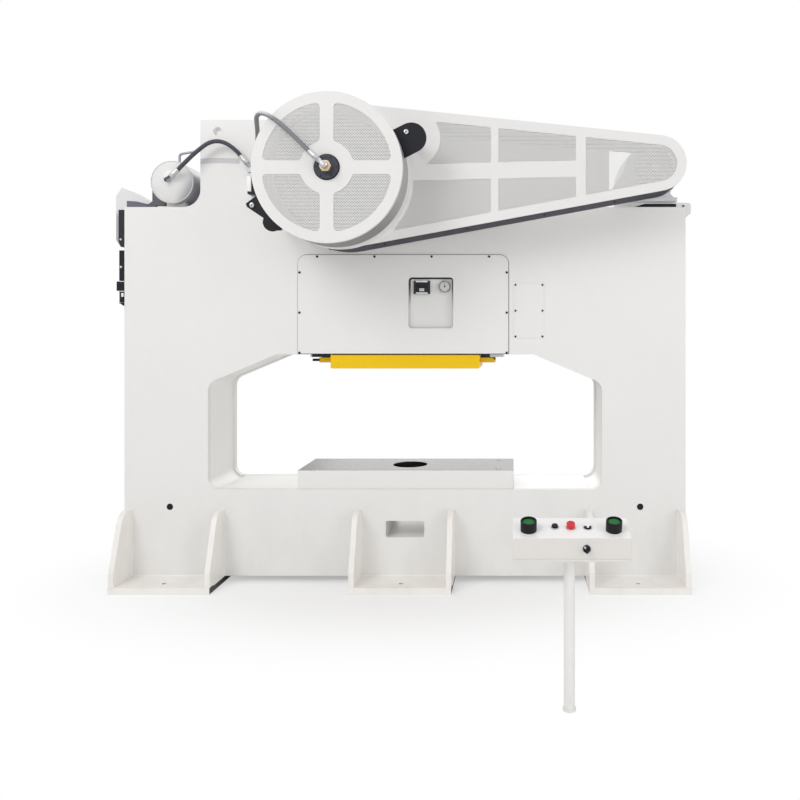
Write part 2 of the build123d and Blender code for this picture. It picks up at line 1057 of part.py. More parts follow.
def shaft_bearings():
    inner = pinion_radius + shaft_gap
    deep = half_depth
    front = ring(drum_x, drum_z, inner, bearing_radius, -deep, -face_inside + 12)
    front += ring(drum_x, drum_z, inner, bearing_radius + flange_rim, -deep - flange_thick, -deep)
    back = ring(drum_x, drum_z, inner, bearing_radius, face_inside - 12, deep)
    inner = crank_radius + shaft_gap
    outer = crank_radius + bush_thick
    carrier_back = -face_inside + carrier_thick
    crank_front = ring(crank_x, crank_z, inner, outer + carrier_rim, -face_inside, carrier_back)
    crank_back = ring(crank_x, crank_z, inner, outer, face_inside, deep)
    cap = rod(crank_x, crank_z, cap_radius, deep, deep + cap_thick)
    cap -= rod(crank_x, crank_z, crank_radius + 2, deep - 1, deep + cap_thick / 2)
    return Compound(children=[front, back, crank_front, crank_back, cap])


# Flywheel, clutch and belts


def groove_points(pitch_radius):
    # The land and the V of each groove, as (radius, y) points from front to back
    land = pitch_radius + land_height
    floor = pitch_radius - (belt_height - belt_crown) - groove_depth_gap
    slope = (belt_top - belt_foot) / 2 / belt_height
    top_half = belt_top / 2 + groove_gap + slope * (land_height - belt_crown)
    low_half = belt_foot / 2 + groove_gap - slope * groove_depth_gap
    points = []
    for middle in belt_places():
        points += [(land, middle - top_half), (floor, middle - low_half)]
        points += [(floor, middle + low_half), (land, middle + top_half)]
    return points


def belt_places():
    return [groove_front + rim_edge + index * groove_pitch for index in range(groove_count)]


def flywheel():
    land = fly_pitch_radius + land_height
    inner = land - fly_rim_depth
    web_front = (groove_front + groove_back - fly_web) / 2
    web_back = web_front + fly_web
    bore = pinion_radius + shaft_gap
    hub_back = groove_back + fly_hub_back
    points = [(bore, clutch_back), (fly_hub_radius, clutch_back), (fly_hub_radius, web_front)]
    points += [(inner, web_front), (inner, groove_front), (land, groove_front)]
    points += groove_points(fly_pitch_radius)
    points += [(land, groove_back), (inner, groove_back), (inner, web_back)]
    points += [(fly_hub_radius, web_back), (fly_hub_radius, hub_back), (bore, hub_back)]
    wheel = turned(points, drum_x, drum_z)
    for step in range(5):
        x, z = around(drum_x, drum_z, (fly_hub_radius + inner) / 2, 90 + step * 72)
        wheel -= rod(x, z, fly_hole_radius, web_front - 1, web_back + 1)
    return wheel


def clutch_housing():
    inner = clutch_radius - clutch_wall
    bore = pinion_radius + clutch_bore_gap
    shoulder = clutch_front - clutch_wall * 2 / 3
    points = [
        (union_radius, nose_front),
        (nose_radius, nose_front),
        (nose_radius, shoulder),
        (clutch_radius - clutch_bevel, shoulder),
        (clutch_radius, clutch_front + 10),
        (clutch_radius, clutch_back),
        (bore, clutch_back),
        (bore, clutch_back - clutch_wall),
        (inner, clutch_back - clutch_wall),
        (inner, clutch_front + clutch_wall),
        (union_radius, clutch_front + clutch_wall),
    ]
    return turned(points, drum_x, drum_z)


def friction_discs():
    middle = (clutch_front + clutch_back) / 2
    hub_half = disc_hub_length / 2
    half = disc_thick / 2
    hub = ring(drum_x, drum_z, pinion_radius, disc_hub_radius, middle - hub_half, middle + hub_half)
    clutch = hub + ring(drum_x, drum_z, pinion_radius, disc_radius, middle - half, middle + half)
    low = half_depth + brake_start
    brake = ring(drum_x, drum_z, pinion_radius, disc_hub_radius, low, low + brake_hub_length)
    low += (brake_hub_length - brake_disc_thick) / 2
    brake += ring(drum_x, drum_z, pinion_radius, brake_disc_radius, low, low + brake_disc_thick)
    return Compound(children=[clutch, brake])


def brake_housing():
    outer = brake_disc_radius + brake_housing_rim
    inner = brake_disc_radius + brake_disc_gap
    deep = half_depth + brake_housing_deep
    wall = brake_housing_wall
    points = [(0, deep), (outer - wall, deep), (outer, deep - wall), (outer, half_depth)]
    points += [(inner, half_depth), (inner, deep - wall), (0, deep - wall)]
    return turned(points, drum_x, drum_z)


def tangent_loop(first, first_radius, second, second_radius):
    # A closed loop of two arcs and two straight runs round two circles in the X and Z plane
    dx = second[0] - first[0]
    dz = second[1] - first[1]
    lean = math.degrees(math.atan2(dz, dx))
    wrap = math.degrees(math.acos((first_radius - second_radius) / math.hypot(dx, dz)))
    first_top = around(*first, first_radius, lean + wrap)
    first_low = around(*first, first_radius, lean - wrap)
    second_top = around(*second, second_radius, lean + wrap)
    second_low = around(*second, second_radius, lean - wrap)
    return [
        ThreePointArc(first_top, around(*first, first_radius, lean + 180), first_low),
        Line(first_low, second_low),
        ThreePointArc(second_low, around(*second, second_radius, lean), second_top),
        Line(second_top, first_top),
    ]


def v_belts():
    loop = Wire(tangent_loop((drum_x, drum_z), fly_pitch_radius, (motor_x, motor_z), pulley_pitch_radius))
    foot = belt_crown - belt_height
    crown = [(-belt_top / 2, belt_crown), (belt_top / 2, belt_crown)]
    section = Polygon(*crown, (belt_foot / 2, foot), (-belt_foot / 2, foot), align=None)
    belts = []
    for place in belt_places():
        path = Plane.XZ.offset(-place) * loop
        start = Plane(origin=path @ 0, x_dir=(0, -1, 0), z_dir=path % 0)
        belts.append(sweep(start * section, path))
    return Compound(children=belts)


def motor_pulley():
    land = pulley_pitch_radius + land_height
    points = [(motor_shaft_radius, groove_front), (land, groove_front)] + groove_points(pulley_pitch_radius)
    points += [(land, groove_back), (motor_shaft_radius, groove_back)]
    return turned(points, motor_x, motor_z)


# Guards


def guard_outline(shrink):
    big = (guard_big_x, guard_big_z)
    small = (motor_x, motor_z)
    return make_face(tangent_loop(big, guard_big_radius - shrink, small, guard_small_radius - shrink))


def guard_windows():
    # The rounded openings between the rim of the belt guard, its bars, the drum and the upper post
    inside = guard_outline(guard_band) - disc(drum_x, drum_z, drum_radius + drum_window_gap)
    post_x, post_z = upper_post_place()
    inside -= disc(post_x, post_z + post_clear_rise, post_clear)
    low = drum_z - 2 * guard_big_radius
    high = drum_z + 2 * guard_big_radius
    inside &= rect(drum_x, motor_x + guard_big_radius, low, high)
    for middle, wide in zip(guard_bar_places, guard_bar_widths):
        inside -= rect(middle - wide / 2, middle + wide / 2, low, high)
    half = guard_cross_high / 2
    left = drum_z + guard_cross_left
    right = drum_z + guard_cross_right
    end = guard_bar_places[1]
    lower = [(drum_x, left - half), (end, right - half)]
    inside -= outline(lower + [(end, right + half), (drum_x, left + half)])
    return [rounded(face, guard_corner) for face in inside.faces() if face.area > 9000]


def guard_vent():
    # The opening in the back sheet of the belt guard, in front of the motor
    left = motor_x - guard_vent_left
    right = motor_x - guard_vent_right
    top = motor_z + guard_vent_top
    low = motor_z - guard_vent_bottom
    bevel = guard_vent_bevel
    lower = [(left, low), (left + bevel, low), (left + guard_vent_hollow, motor_z)]
    return outline(lower + [(right, top - bevel), (right - bevel, top), (left, top)])


def belt_guard():
    face = guard_outline(0)
    post_hole = disc(*upper_post_place(), post_radius + post_hole_gap)
    front = face - disc(drum_x, drum_z, drum_radius - guard_hub_gap) - post_hole
    for window in guard_windows():
        front -= window
    back = face - disc(drum_x, drum_z, fly_hub_radius + guard_shaft_gap) - post_hole - guard_vent()
    back -= disc(motor_x, motor_z, motor_shaft_radius + guard_shaft_gap)
    skirt = slab(face - guard_outline(sheet), guard_front + sheet, guard_back - sheet)
    collar = ring(drum_x, drum_z, drum_radius - sheet, drum_radius, drum_collar_start, guard_front)
    sheets = slab(front, guard_front, guard_front + sheet) + slab(back, guard_back - sheet, guard_back)
    return sheets + skirt + collar


def drum_windows():
    outer = drum_radius - drum_ring
    face = Circle(outer) - Circle(drum_hub)
    face -= Rectangle(drum_spoke, 2 * outer)
    face -= Rectangle(2 * outer, drum_spoke)
    return [Pos(drum_x, drum_z) * rounded(window, drum_window_corner) for window in face.faces()]


def drum_face():
    face = disc(drum_x, drum_z, drum_radius) - disc(drum_x, drum_z, drum_hub_hole)
    for window in drum_windows():
        face -= window
    low = drum_front + sheet
    lip = ring(drum_x, drum_z, drum_radius - sheet, drum_radius, low, drum_front + drum_lip)
    return slab(face, drum_front, low) + lip


def drum_sleeve():
    outer = drum_radius - sheet
    front = drum_front + sheet + mesh_sheet
    return ring(drum_x, drum_z, outer - mesh_sheet, outer, front, drum_collar_start + sleeve_lap)


def guard_mesh():
    low = guard_front + sheet
    meshes = [slab(offset(window, mesh_lap), low, low + mesh_sheet) for window in guard_windows()]
    face = disc(drum_x, drum_z, drum_radius - sheet) - disc(drum_x, drum_z, drum_hub_hole + sleeve_lap)
    low = drum_front + sheet
    meshes.append(slab(face, low, low + mesh_sheet))
    return Compound(children=meshes)


def beyond_drum(angle, out):
    return around(drum_x, drum_z, drum_radius + out, angle)


def upper_post_place():
    return beyond_drum(upper_post_angle, upper_post_out)


def lower_post_place():
    return beyond_drum(lower_post_angle, lower_post_out)


def ear(outlines, lobe):
    angle, out, radius = lobe
    face = disc(*beyond_drum(angle, out), radius)
    for places in outlines:
        face += outline([beyond_drum(*place) for place in places])
    face -= disc(drum_x, drum_z, drum_radius)
    return slab(face, ear_plane - ear_thick / 2, ear_plane + ear_thick / 2)


def drum_brackets():
    upper = ear([upper_ear_outline], upper_lobe)
    lower = ear([lower_ear_outline, lower_ear_tail], lower_lobe)
    return Compound(children=[upper, lower])


def guard_posts():
    front = ear_plane + ear_thick / 2
    places = (upper_post_place(), lower_post_place())
    posts = [rod(*place, post_radius, front, -half_depth) for place in places]
    for right, up in standoff_places:
        x = guard_big_x + right * guard_big_radius
        z = guard_big_z + up * guard_big_radius
        posts.append(rod(x, z, standoff_radius, guard_back, -half_depth))
    return Compound(children=posts)


# Motor


def motor_frame():
    section = disc(motor_x, motor_z, motor_radius)
    blade = Pos(motor_radius + fin_height / 2 - 2, 0) * Rectangle(fin_height + 4, fin_thick)
    for step in range(fin_count):
        angle = step * 360 / fin_count
        if not 245 < angle < 295:
            section += Pos(motor_x, motor_z) * (Rot(0, 0, angle) * blade)
    front = motor_front + nose_length
    body_front = front + bell_length
    body_back = motor_back - cowl_length - back_bell_length
    bell = motor_radius + bell_rise
    solid = slab(section, body_front, body_back)
    solid += rod(motor_x, motor_z, bell, front, body_front)
    solid += rod(motor_x, motor_z, boss_radius, motor_front, front)
    solid += rod(motor_x, motor_z, bell, body_back, motor_back - cowl_length)
    low = frame_height + motor_base_thick
    half = motor_foot_width / 2
    foot_half = motor_foot_length / 2
    foot_front = motor_foot_middle - foot_half
    foot_back = motor_foot_middle + foot_half
    solid += block(motor_x - half, motor_x + half, foot_front, foot_back, low, low + motor_foot_thick)
    web = outline([
        (motor_x - half + leg_setback, low + motor_foot_thick / 2),
        (motor_x + half - leg_setback, low + motor_foot_thick / 2),
        (motor_x + leg_top, motor_z - leg_drop),
        (motor_x - leg_top, motor_z - leg_drop),
    ])
    solid += slab(web, foot_front + leg_setback, foot_front + leg_setback + leg_thick)
    solid += slab(web, foot_back - leg_setback - leg_thick, foot_back - leg_setback)
    solid -= rod(motor_x, motor_z, motor_shaft_radius + shaft_gap, motor_front - 1, motor_back)
    return solid - rod(motor_x, motor_z, motor_radius - motor_wall, body_front - 20, body_back + 10)


def motor_covers():
    low = motor_back - cowl_length
    inner = motor_radius + bell_rise
    outer = inner + sheet
    cowl = turned([
        (inner, low - cowl_lap),
        (outer, low - cowl_lap),
        (outer, motor_back - cowl_bevel),
        (outer - cowl_bevel, motor_back),
        (cowl_hole_radius, motor_back),
        (cowl_hole_radius, motor_back - sheet),
        (outer - cowl_bevel - 1, motor_back - sheet),
        (inner, motor_back - cowl_bevel - 1),
    ], motor_x, motor_z)
    top = motor_z + motor_radius + fin_height
    left = motor_x - terminal_half
    right = motor_x + terminal_half
    box = block(left, right, terminal_front, terminal_back, top - terminal_sink, top + terminal_height)
    box = fillet(box.edges().filter_by(Axis.Z), terminal_round)
    rim = math.hypot(motor_radius + fin_height, fin_thick / 2)
    box -= rod(motor_x, motor_z, rim, terminal_front - 1, terminal_back + 1)
    return Compound(children=[cowl, box])


def motor_rotor():
    shaft = rod(motor_x, motor_z, motor_shaft_radius, groove_front - 4, motor_back - 20)
    core_radius = motor_radius - motor_wall - motor_bore_gap
    core_front = motor_front + nose_length + bell_length
    core_back = motor_back - cowl_length - back_bell_length
    core = rod(motor_x, motor_z, core_radius, core_front, core_back - 10)
    fan_back = motor_back - 26
    fan = rod(motor_x, motor_z, fan_hub_radius, fan_back - fan_length, fan_back)
    blade_length = motor_radius - fan_hub_radius
    for step in range(fan_blades):
        blade = Pos(fan_hub_radius + blade_length / 2 - 10, 0) * Rectangle(blade_length, fan_blade_thick)
        blade = Pos(motor_x, motor_z) * (Rot(0, 0, step * 360 / fan_blades) * blade)
        fan += slab(blade, fan_back - fan_length + 2, fan_back - 2)
    return shaft + core + fan


def motor_base():
    half = motor_foot_width / 2 + base_margin
    top = frame_height + motor_base_thick
    base = block(motor_x - half, motor_x + half, -base_depth / 2, base_depth / 2, frame_height, top)
    for x in (motor_x - base_slot_x, motor_x + base_slot_x):
        for y in (base_slot_front, base_slot_back):
            half = base_slot_width / 2
            left = x - base_slot_half
            base -= block(left, x + base_slot_half, y - half, y + half, frame_height - 1, top + 1)
    return base


def tension_bracket():
    # A hooked plate that hangs on the right edge of the motor base
    edge = motor_x + motor_foot_width / 2 + base_margin
    inner = edge + bracket_thick
    outer = inner + bracket_reach
    low = frame_height - bracket_drop
    top = frame_height + bracket_rise
    hook = outline([
        (inner, low),
        (inner + bracket_thick, low - bracket_bevel),
        (outer, low + bracket_bevel),
        (outer, top - bracket_bevel),
        (outer - bracket_thick, top),
        (edge, top),
        (edge, top - bracket_thick),
        (inner, top - bracket_thick),
    ])
    return slab(hook, bracket_front, bracket_back)


# Air supply


def air_tank():
    front = tank_front
    back = tank_front + tank_length
    sphere = (tank_radius ** 2 + tank_dome ** 2) / (2 * tank_dome)
    half_turn = math.asin(tank_radius / sphere) / 2
    reach = sphere * math.sin(half_turn)
    bulge = sphere * (1 - math.cos(half_turn))
    arc_front = ThreePointArc((0, front), (reach, front + bulge), (tank_radius, front + tank_dome))
    side = Line((tank_radius, front + tank_dome), (tank_radius, back - tank_dome))
    arc_back = ThreePointArc((tank_radius, back - tank_dome), (reach, back - bulge), (0, back))
    profile = make_face([arc_front, side, arc_back, Line((0, back), (0, front))])
    shell = Pos(tank_x, 0, tank_z) * revolve(profile, Axis.Y, 360)
    outlet = rod(tank_x, tank_z, tank_port_radius, tank_elbow_y, front + tank_dome)
    x, y, z = tank_port()
    elbow = Pos((x + tank_x) / 2, y, (z + tank_z) / 2) * Rot(0, 90 - tank_elbow_angle, 0)
    outlet += Pos(tank_x, tank_elbow_y, tank_z) * Sphere(tank_port_radius)
    outlet += elbow * Cylinder(tank_elbow_radius, tank_elbow_reach)
    top = tank_z + tank_radius
    inlet = post(tank_x, air_line_y, tank_port_radius, top - tank_port_length, top + tank_port_length)
    return shell + outlet + inlet


def tank_saddle():
    half = saddle_width / 2
    low = frame_height
    top = tank_z - tank_radius + saddle_rise
    cradle = rect(tank_x - half, tank_x + half, low, top) - disc(tank_x, tank_z, tank_radius)
    left = tank_x - half - strap_reach
    right = tank_x + half + strap_reach
    front = saddle_places[0] - strap_margin
    back = saddle_places[1] + saddle_thick + strap_margin
    saddle = block(left, right, front, back, low, low + strap_thick)
    for y in saddle_places:
        saddle += slab(cradle, y, y + saddle_thick)
    wedge = Pos(tank_x, tank_z) * outline(wedge_outline + wedge_foot)
    wedge -= disc(tank_x, tank_z, tank_radius + wedge_gap)
    return Compound(children=[saddle, slab(wedge, front, front + wedge_depth)])


def clutch_valve():
    half = valve_width / 2
    face = -half_depth
    low = valve_z - valve_height / 2
    valve = block(valve_x - half, valve_x + half, face - valve_depth, face, low, valve_top)
    valve = fillet(valve.edges().filter_by(Axis.Z), valve_round)
    valve += post(valve_x, valve_y, neck_radius, valve_top - 1, valve_top + neck_height)
    tee_x = valve_x + tee_shift
    valve += Pos(tee_x, valve_y, tee_z) * Box(*tee_size)
    tee_top = tee_z + tee_size[2] / 2
    valve += post(valve_x + knob_shift, valve_y, knob_radius, tee_top - 1, tee_top + knob_height)
    side = Vector(*valve_side_port()) - tee_middle()
    front = Vector(*valve_front_port()) - tee_middle()
    for way in (side, front):
        stub = Plane(origin=tee_middle() + way / 2, z_dir=way)
        valve += stub * Cylinder(port_radius, way.length)
    return valve


def tee_middle():
    return Vector(valve_x + tee_shift, valve_y, tee_z)


def valve_side_port():
    x, z = around(tee_middle().X, tee_z, side_port_reach, side_port_angle)
    return (x, valve_y, z)


def valve_front_port():
    way = Vector(*front_port_way).normalized()
    return tuple(tee_middle() + way * front_port_reach)


def tank_port():
    x, z = around(tank_x, tank_z, tank_elbow_reach, tank_elbow_angle)
    return (x, tank_elbow_y, z)


def swivel_port():
    x, z = around(drum_x, drum_z, swivel_reach, swivel_angle)
    return (x, swivel_y, z)


def hose_route(start, leaving, end, arriving, bends):
    # A hose runs straight out of one port, along its bends and straight into the other port
    first = Vector(*start)
    last = Vector(*end)
    points = [first, first + Vector(*leaving) * hose_straight]
    for share, forward, up in bends:
        points.append(first + (last - first) * share + Vector(0, -forward, up))
    return points + [last - Vector(*arriving) * hose_straight, last]


def hose_tube(points):
    # Every bend is as large as the runs beside it allow
    radii = []
    for before, here, after in zip(points, points[1:], points[2:]):
        turn = math.radians((here - before).get_angle(after - here))
        shorter = min((here - before).length, (after - here).length)
        radii.append(0.45 * shorter / math.tan(turn / 2))
    path = FilletPolyline(*points, radius=radii)
    start = Plane(origin=path @ 0, z_dir=path % 0)
    return sweep(start * Circle(hose_diameter / 2), path)


def tank_hose():
    x, z = around(0, 0, 1, tank_elbow_angle)
    end_x, end_z = around(0, 0, 1, side_port_angle + 180)
    port = valve_side_port()
    return hose_tube(hose_route(tank_port(), (x, 0, z), port, (end_x, 0, end_z), tank_hose_bends))


def clutch_hose():
    x, z = around(0, 0, 1, swivel_angle)
    arriving = tuple(-Vector(*front_port_way).normalized())
    port = valve_front_port()
    return hose_tube(hose_route(swivel_port(), (x, 0, z), port, arriving, clutch_hose_bends))


def rotary_union():
    stem = rod(drum_x, drum_z, union_radius - union_gap, nose_front - hex_gap - 1, nose_front + stem_depth)
    hex_back = nose_front - hex_gap
    hex_front = hex_back - hex_length
    hexagon = slab(Pos(drum_x, drum_z) * RegularPolygon(hex_radius, 6), hex_front, hex_back)
    swivel_back = hex_front - swivel_neck_length
    neck = rod(drum_x, drum_z, swivel_neck_radius, swivel_back, hex_front)
    swivel = rod(drum_x, drum_z, swivel_radius, swivel_back - swivel_length, swivel_back)
    x, y, z = swivel_port()
    outlet = Pos((x + drum_x) / 2, y, (z + drum_z) / 2) * Rot(0, 90 - swivel_angle, 0)
    outlet *= Cylinder(swivel_port_radius, swivel_reach)
    return stem + hexagon + neck + swivel + outlet


def air_line():
    top = tank_z + tank_radius + tank_port_length
    points = [
        (head_left, air_line_y, top + air_line_rise),
        (head_left - 40, air_line_y, top + air_line_rise),
        (tank_x, air_line_y, top + 50),
        (tank_x, air_line_y, top),
    ]
    path = FilletPolyline(*points, radius=air_line_bend)
    start = Plane(origin=path @ 0, z_dir=path % 0)
    return sweep(start * Circle(air_line_radius), path)


# Left side services


def side_trunk():
    # A hollow sheet trunk up the left side that bends over the top of the frame
    wall = -side_wall
    left = wall - trunk_reach
    low = frame_height - trunk_drop
    high = frame_height + trunk_rise
    peak = high + trunk_peak
    arm = trunk_arm - half_width
    face = outline([
        (wall, low - trunk_foot_drop),
        (left + trunk_low_side, low - trunk_foot_drop + trunk_low_slope),
        (left, low - trunk_foot_drop + trunk_low_slope + trunk_low_bevel),
        (left, high),
        (left + trunk_peak_start, peak),
        (left + trunk_peak_end, peak - trunk_low_slope),
        (arm, peak - trunk_low_slope - trunk_arm_drop),
        (arm, frame_height),
        (wall, frame_height),
    ])
    return slab(face, -trunk_depth / 2, trunk_depth / 2)


def air_filter():
    wall = -side_wall
    x = wall - filter_reach
    half = rail_depth / 2
    rail = block(wall - rail_reach, wall, -half, half, rail_bottom, rail_top)
    half = filter_head_depth / 2
    left = x - filter_head_left
    head = block(left, x + filter_head_right, -half, half, filter_head_bottom, filter_head_top)
    middle = (filter_head_bottom + filter_head_top) / 2
    pipe = panel(Pos(0, middle) * Circle(filter_pipe_radius), x, wall)
    bowl = post(x, 0, filter_radius, filter_head_bottom - filter_bowl_length, filter_head_bottom)
    shelf = outline([(wall, shelf_top), (wall - shelf_reach, shelf_top), (wall, shelf_top - shelf_drop)])
    gusset = slab(shelf, -shelf_thick / 2, shelf_thick / 2)
    return Compound(children=[rail, head + pipe + bowl, gusset])


# Two-hand console


def console_profile(shrink):
    front = console_front + shrink
    back = console_front + console_depth - shrink
    low = console_bottom + shrink
    rise = math.tan(math.radians(console_tilt))
    front_top = console_front_top - shrink / math.cos(math.radians(console_tilt)) + rise * shrink
    back_top = front_top + rise * (back - front)
    return outline([(front, low), (back, low), (back, back_top), (front, front_top)])


def console_place(x):
    # The middle of the sloped panel at x, with +Z out of the panel
    top = (console_front_top + console_back_top) / 2
    return Pos(x, console_front + console_depth / 2, top) * Rot(console_tilt, 0, 0)


def palm_place(side):
    # The two palm buttons stand nearer to the front edge than the small ones
    return console_place(console_x + side * palm_spacing / 2) * Pos(0, -palm_setback, 0)


def console_holes():
    holes = [palm_place(side) * Cylinder(palm_hole_radius, 60) for side in (-1, 1)]
    for shift in (start_shift, stop_shift, mode_shift):
        holes.append(console_place(console_x + shift) * Cylinder(small_hole_radius, 60))
    return holes


def key_place():
    return Pos(console_x + key_shift, console_front, console_bottom + key_rise) * Rot(90, 0, 0)


def console_case():
    left = console_x - console_width / 2
    right = console_x + console_width / 2
    inner = panel(console_profile(console_sheet), left + console_sheet, right - console_sheet)
    case = panel(console_profile(0), left, right) - inner
    lip_front = console_front - console_lip_reach
    case += block(left, right, lip_front, console_front, console_bottom, console_bottom + console_lip)
    return case - console_holes() - key_place() * Cylinder(small_hole_radius, 40)


def console_lid():
    length = console_depth / math.cos(math.radians(console_tilt))
    lid = Pos(0, 0, console_sheet / 2) * Box(console_width, length, console_sheet)
    lid = console_place(console_x) * lid - console_holes()
    bore = palm_radius + slide_gap
    tube = Cylinder(bore + collar_wall, collar_height)
    tube -= Pos(0, 0, collar_floor) * Cylinder(bore, collar_height)
    tube -= Cylinder(palm_hole_radius, 2 * collar_height)
    tube = Pos(0, 0, console_sheet + collar_height / 2) * tube
    return Compound(children=[lid] + [palm_place(side) * tube for side in (-1, 1)])


def console_pole():
    x = console_x + pole_shift
    y = console_front + console_depth / 2
    tube = Pos(x, y) * (Circle(pole_radius) - Circle(pole_radius - pole_wall))
    return plate(tube, pole_foot, console_bottom) + post(x, y, pole_radius + pole_rim, 0, pole_foot)


def palm_button(side):
    floor = console_sheet + collar_floor + palm_travel + slide_gap
    height = collar_height + console_sheet - palm_sink - floor
    cap = Pos(0, 0, floor + height / 2) * Cylinder(palm_radius, height)
    cap = fillet(cap.edges().sort_by(Axis.Z)[-1], palm_round)
    length = palm_stem_length
    stem = Pos(0, 0, floor - length / 2 + 1) * Cylinder(palm_hole_radius - slide_gap, length)
    return palm_place(side) * (cap + stem)


def palm_button_left():
    return palm_button(-1)


def palm_button_right():
    return palm_button(1)


def small_button(x, head_radius, head_height):
    rise = console_sheet + button_travel + slide_gap
    head = Pos(0, 0, rise + head_height / 2) * Cylinder(head_radius, head_height)
    head = fillet(head.edges().sort_by(Axis.Z)[-1], min(3, head_height / 3))
    length = small_stem_length
    stem = Pos(0, 0, rise - length / 2 + 1) * Cylinder(small_hole_radius - slide_gap, length)
    return console_place(x) * (head + stem)


def start_button():
    return small_button(console_x + start_shift, start_head_radius, start_head_height)


def stop_button():
    return small_button(console_x + stop_shift, stop_head_radius, stop_head_height)


def selector():
    dial = Pos(0, 0, slide_gap + dial_height / 2) * Cylinder(dial_radius, dial_height)
    grip = Pos(0, 0, slide_gap + dial_height + grip_height / 2) * Box(grip_width, grip_length, grip_height)
    length = dial_stem_length
    stem = Pos(0, 0, slide_gap - length / 2 + 1) * Cylinder(small_hole_radius - slide_gap, length)
    return dial + grip + stem


def mode_selector():
    return console_place(console_x + mode_shift) * (Pos(0, 0, console_sheet) * selector())


def key_selector():
    return key_place() * selector()


nodes = [
    front_plate,
    back_plate,
    frame_walls,
    deck_plates,
    window_liner_left,
    window_liner_right,
    bed_deck,
    scrap_chute,
    foot_plates,
    foot_gussets,
    bolster,
    front_cover,
    small_covers,
    fasteners,
    counter_window,
    gauge_case,
    gauge_needle,
    ram_body,
    ram_plate,
    ram_gibs,
    bull_gear,
    crank_shaft,
    slide_block,
    pinion_shaft,
    shaft_bearings,
    flywheel,
    clutch_housing,
    friction_discs,
    brake_housing,
    v_belts,
    motor_pulley,
    belt_guard,
    guard_mesh,
    drum_face,
    drum_sleeve,
    drum_brackets,
    guard_posts,
    motor_frame,
    motor_covers,
    motor_rotor,
    motor_base,
    tension_bracket,
    air_tank,
    tank_saddle,
    clutch_valve,
    tank_hose,
    clutch_hose,
    rotary_union,
    air_line,
    side_trunk,
    air_filter,
    console_case,
    console_lid,
    console_pole,
    palm_button_left,
    palm_button_right,
    start_button,
    stop_button,
    mode_selector,
    key_selector,
]

os.makedirs("parts", exist_ok=True)
for node in nodes:
    export_step(node(), "parts/" + node.__name__ + ".step")
print(len(nodes), "nodes written")
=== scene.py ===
import json
import math
import bmesh
import bpy
from mathutils import Matrix, Vector
from mathutils.bvhtree import BVHTree


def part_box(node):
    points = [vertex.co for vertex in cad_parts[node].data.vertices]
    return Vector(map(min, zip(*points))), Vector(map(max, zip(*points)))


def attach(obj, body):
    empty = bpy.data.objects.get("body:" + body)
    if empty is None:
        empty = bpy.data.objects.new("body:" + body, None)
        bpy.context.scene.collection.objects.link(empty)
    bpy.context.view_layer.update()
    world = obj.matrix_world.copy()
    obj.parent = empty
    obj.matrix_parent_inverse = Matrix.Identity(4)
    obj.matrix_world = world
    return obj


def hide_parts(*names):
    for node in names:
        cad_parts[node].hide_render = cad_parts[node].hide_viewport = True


# Looks of a mechanical stamping press: camera, light, finishes and the pieces that the plain solids lack.
# Metres, +X to the right, +Y into the machine, +Z up, origin on the floor under the press.

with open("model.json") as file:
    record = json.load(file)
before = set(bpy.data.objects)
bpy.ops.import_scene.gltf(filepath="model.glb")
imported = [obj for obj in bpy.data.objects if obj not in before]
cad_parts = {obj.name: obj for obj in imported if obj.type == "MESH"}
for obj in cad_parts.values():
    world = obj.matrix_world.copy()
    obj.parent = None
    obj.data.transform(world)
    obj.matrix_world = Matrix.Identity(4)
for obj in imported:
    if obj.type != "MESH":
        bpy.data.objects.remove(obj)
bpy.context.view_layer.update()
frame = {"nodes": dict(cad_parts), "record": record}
nodes = frame["nodes"]
scene = bpy.context.scene
print("stage: frame loaded,", len(nodes), "nodes")


# Small tools for meshes

outward, inward, upward = (0, -1, 0), (0, 1, 0), (0, 0, 1)
mergeDistance = 1e-6


def placed(name, data):
    obj = bpy.data.objects.new(name, data)
    scene.collection.objects.link(obj)
    return obj


def meshPiece(points=(), faces=()):
    # dress() gives it its name
    mesh = bpy.data.meshes.new("piece")
    mesh.from_pydata([tuple(point) for point in points], [], faces)
    mesh.update()
    return placed("piece", mesh)


def workedPiece(work):
    obj = meshPiece()
    work.to_mesh(obj.data)
    work.free()
    return obj


def softShaded(obj, degrees=35):
    # Smooth, with sharp edges beyond an angle
    obj.data.shade_smooth()
    obj.data.set_sharp_from_angle(angle=math.radians(degrees))
    return obj


def tidyMesh(obj, degrees=35):
    # Doubled points merged, faces turned outwards, gentle edges shaded soft
    work = bmesh.new()
    work.from_mesh(obj.data)
    bmesh.ops.remove_doubles(work, verts=work.verts, dist=mergeDistance)
    bmesh.ops.recalc_face_normals(work, faces=work.faces)
    work.to_mesh(obj.data)
    work.free()
    return softShaded(obj, degrees)


def joined(parts):
    # One mesh from several objects in their places
    bpy.context.view_layer.update()
    whole = bmesh.new()
    for part in parts:
        part.data.transform(part.matrix_world)
        whole.from_mesh(part.data)
        bpy.data.objects.remove(part)
    return softShaded(workedPiece(whole))


def aimed(place, direction):
    # Puts local +Z along a direction, at a place
    turn = Vector(direction).to_track_quat("Z", "Y").to_matrix().to_4x4()
    return Matrix.Translation(Vector(place)) @ turn


def ring(radius, segments, hexagon=False):
    # Points on a circle, or on a hexagon with that radius at its corners
    points = []
    for step in range(segments):
        angle = 2 * math.pi * step / segments
        reach = radius
        if hexagon:
            reach = radius * math.cos(math.pi / 6) / math.cos(angle % (math.pi / 3) - math.pi / 6)
        points.append((reach * math.cos(angle), reach * math.sin(angle)))
    return points


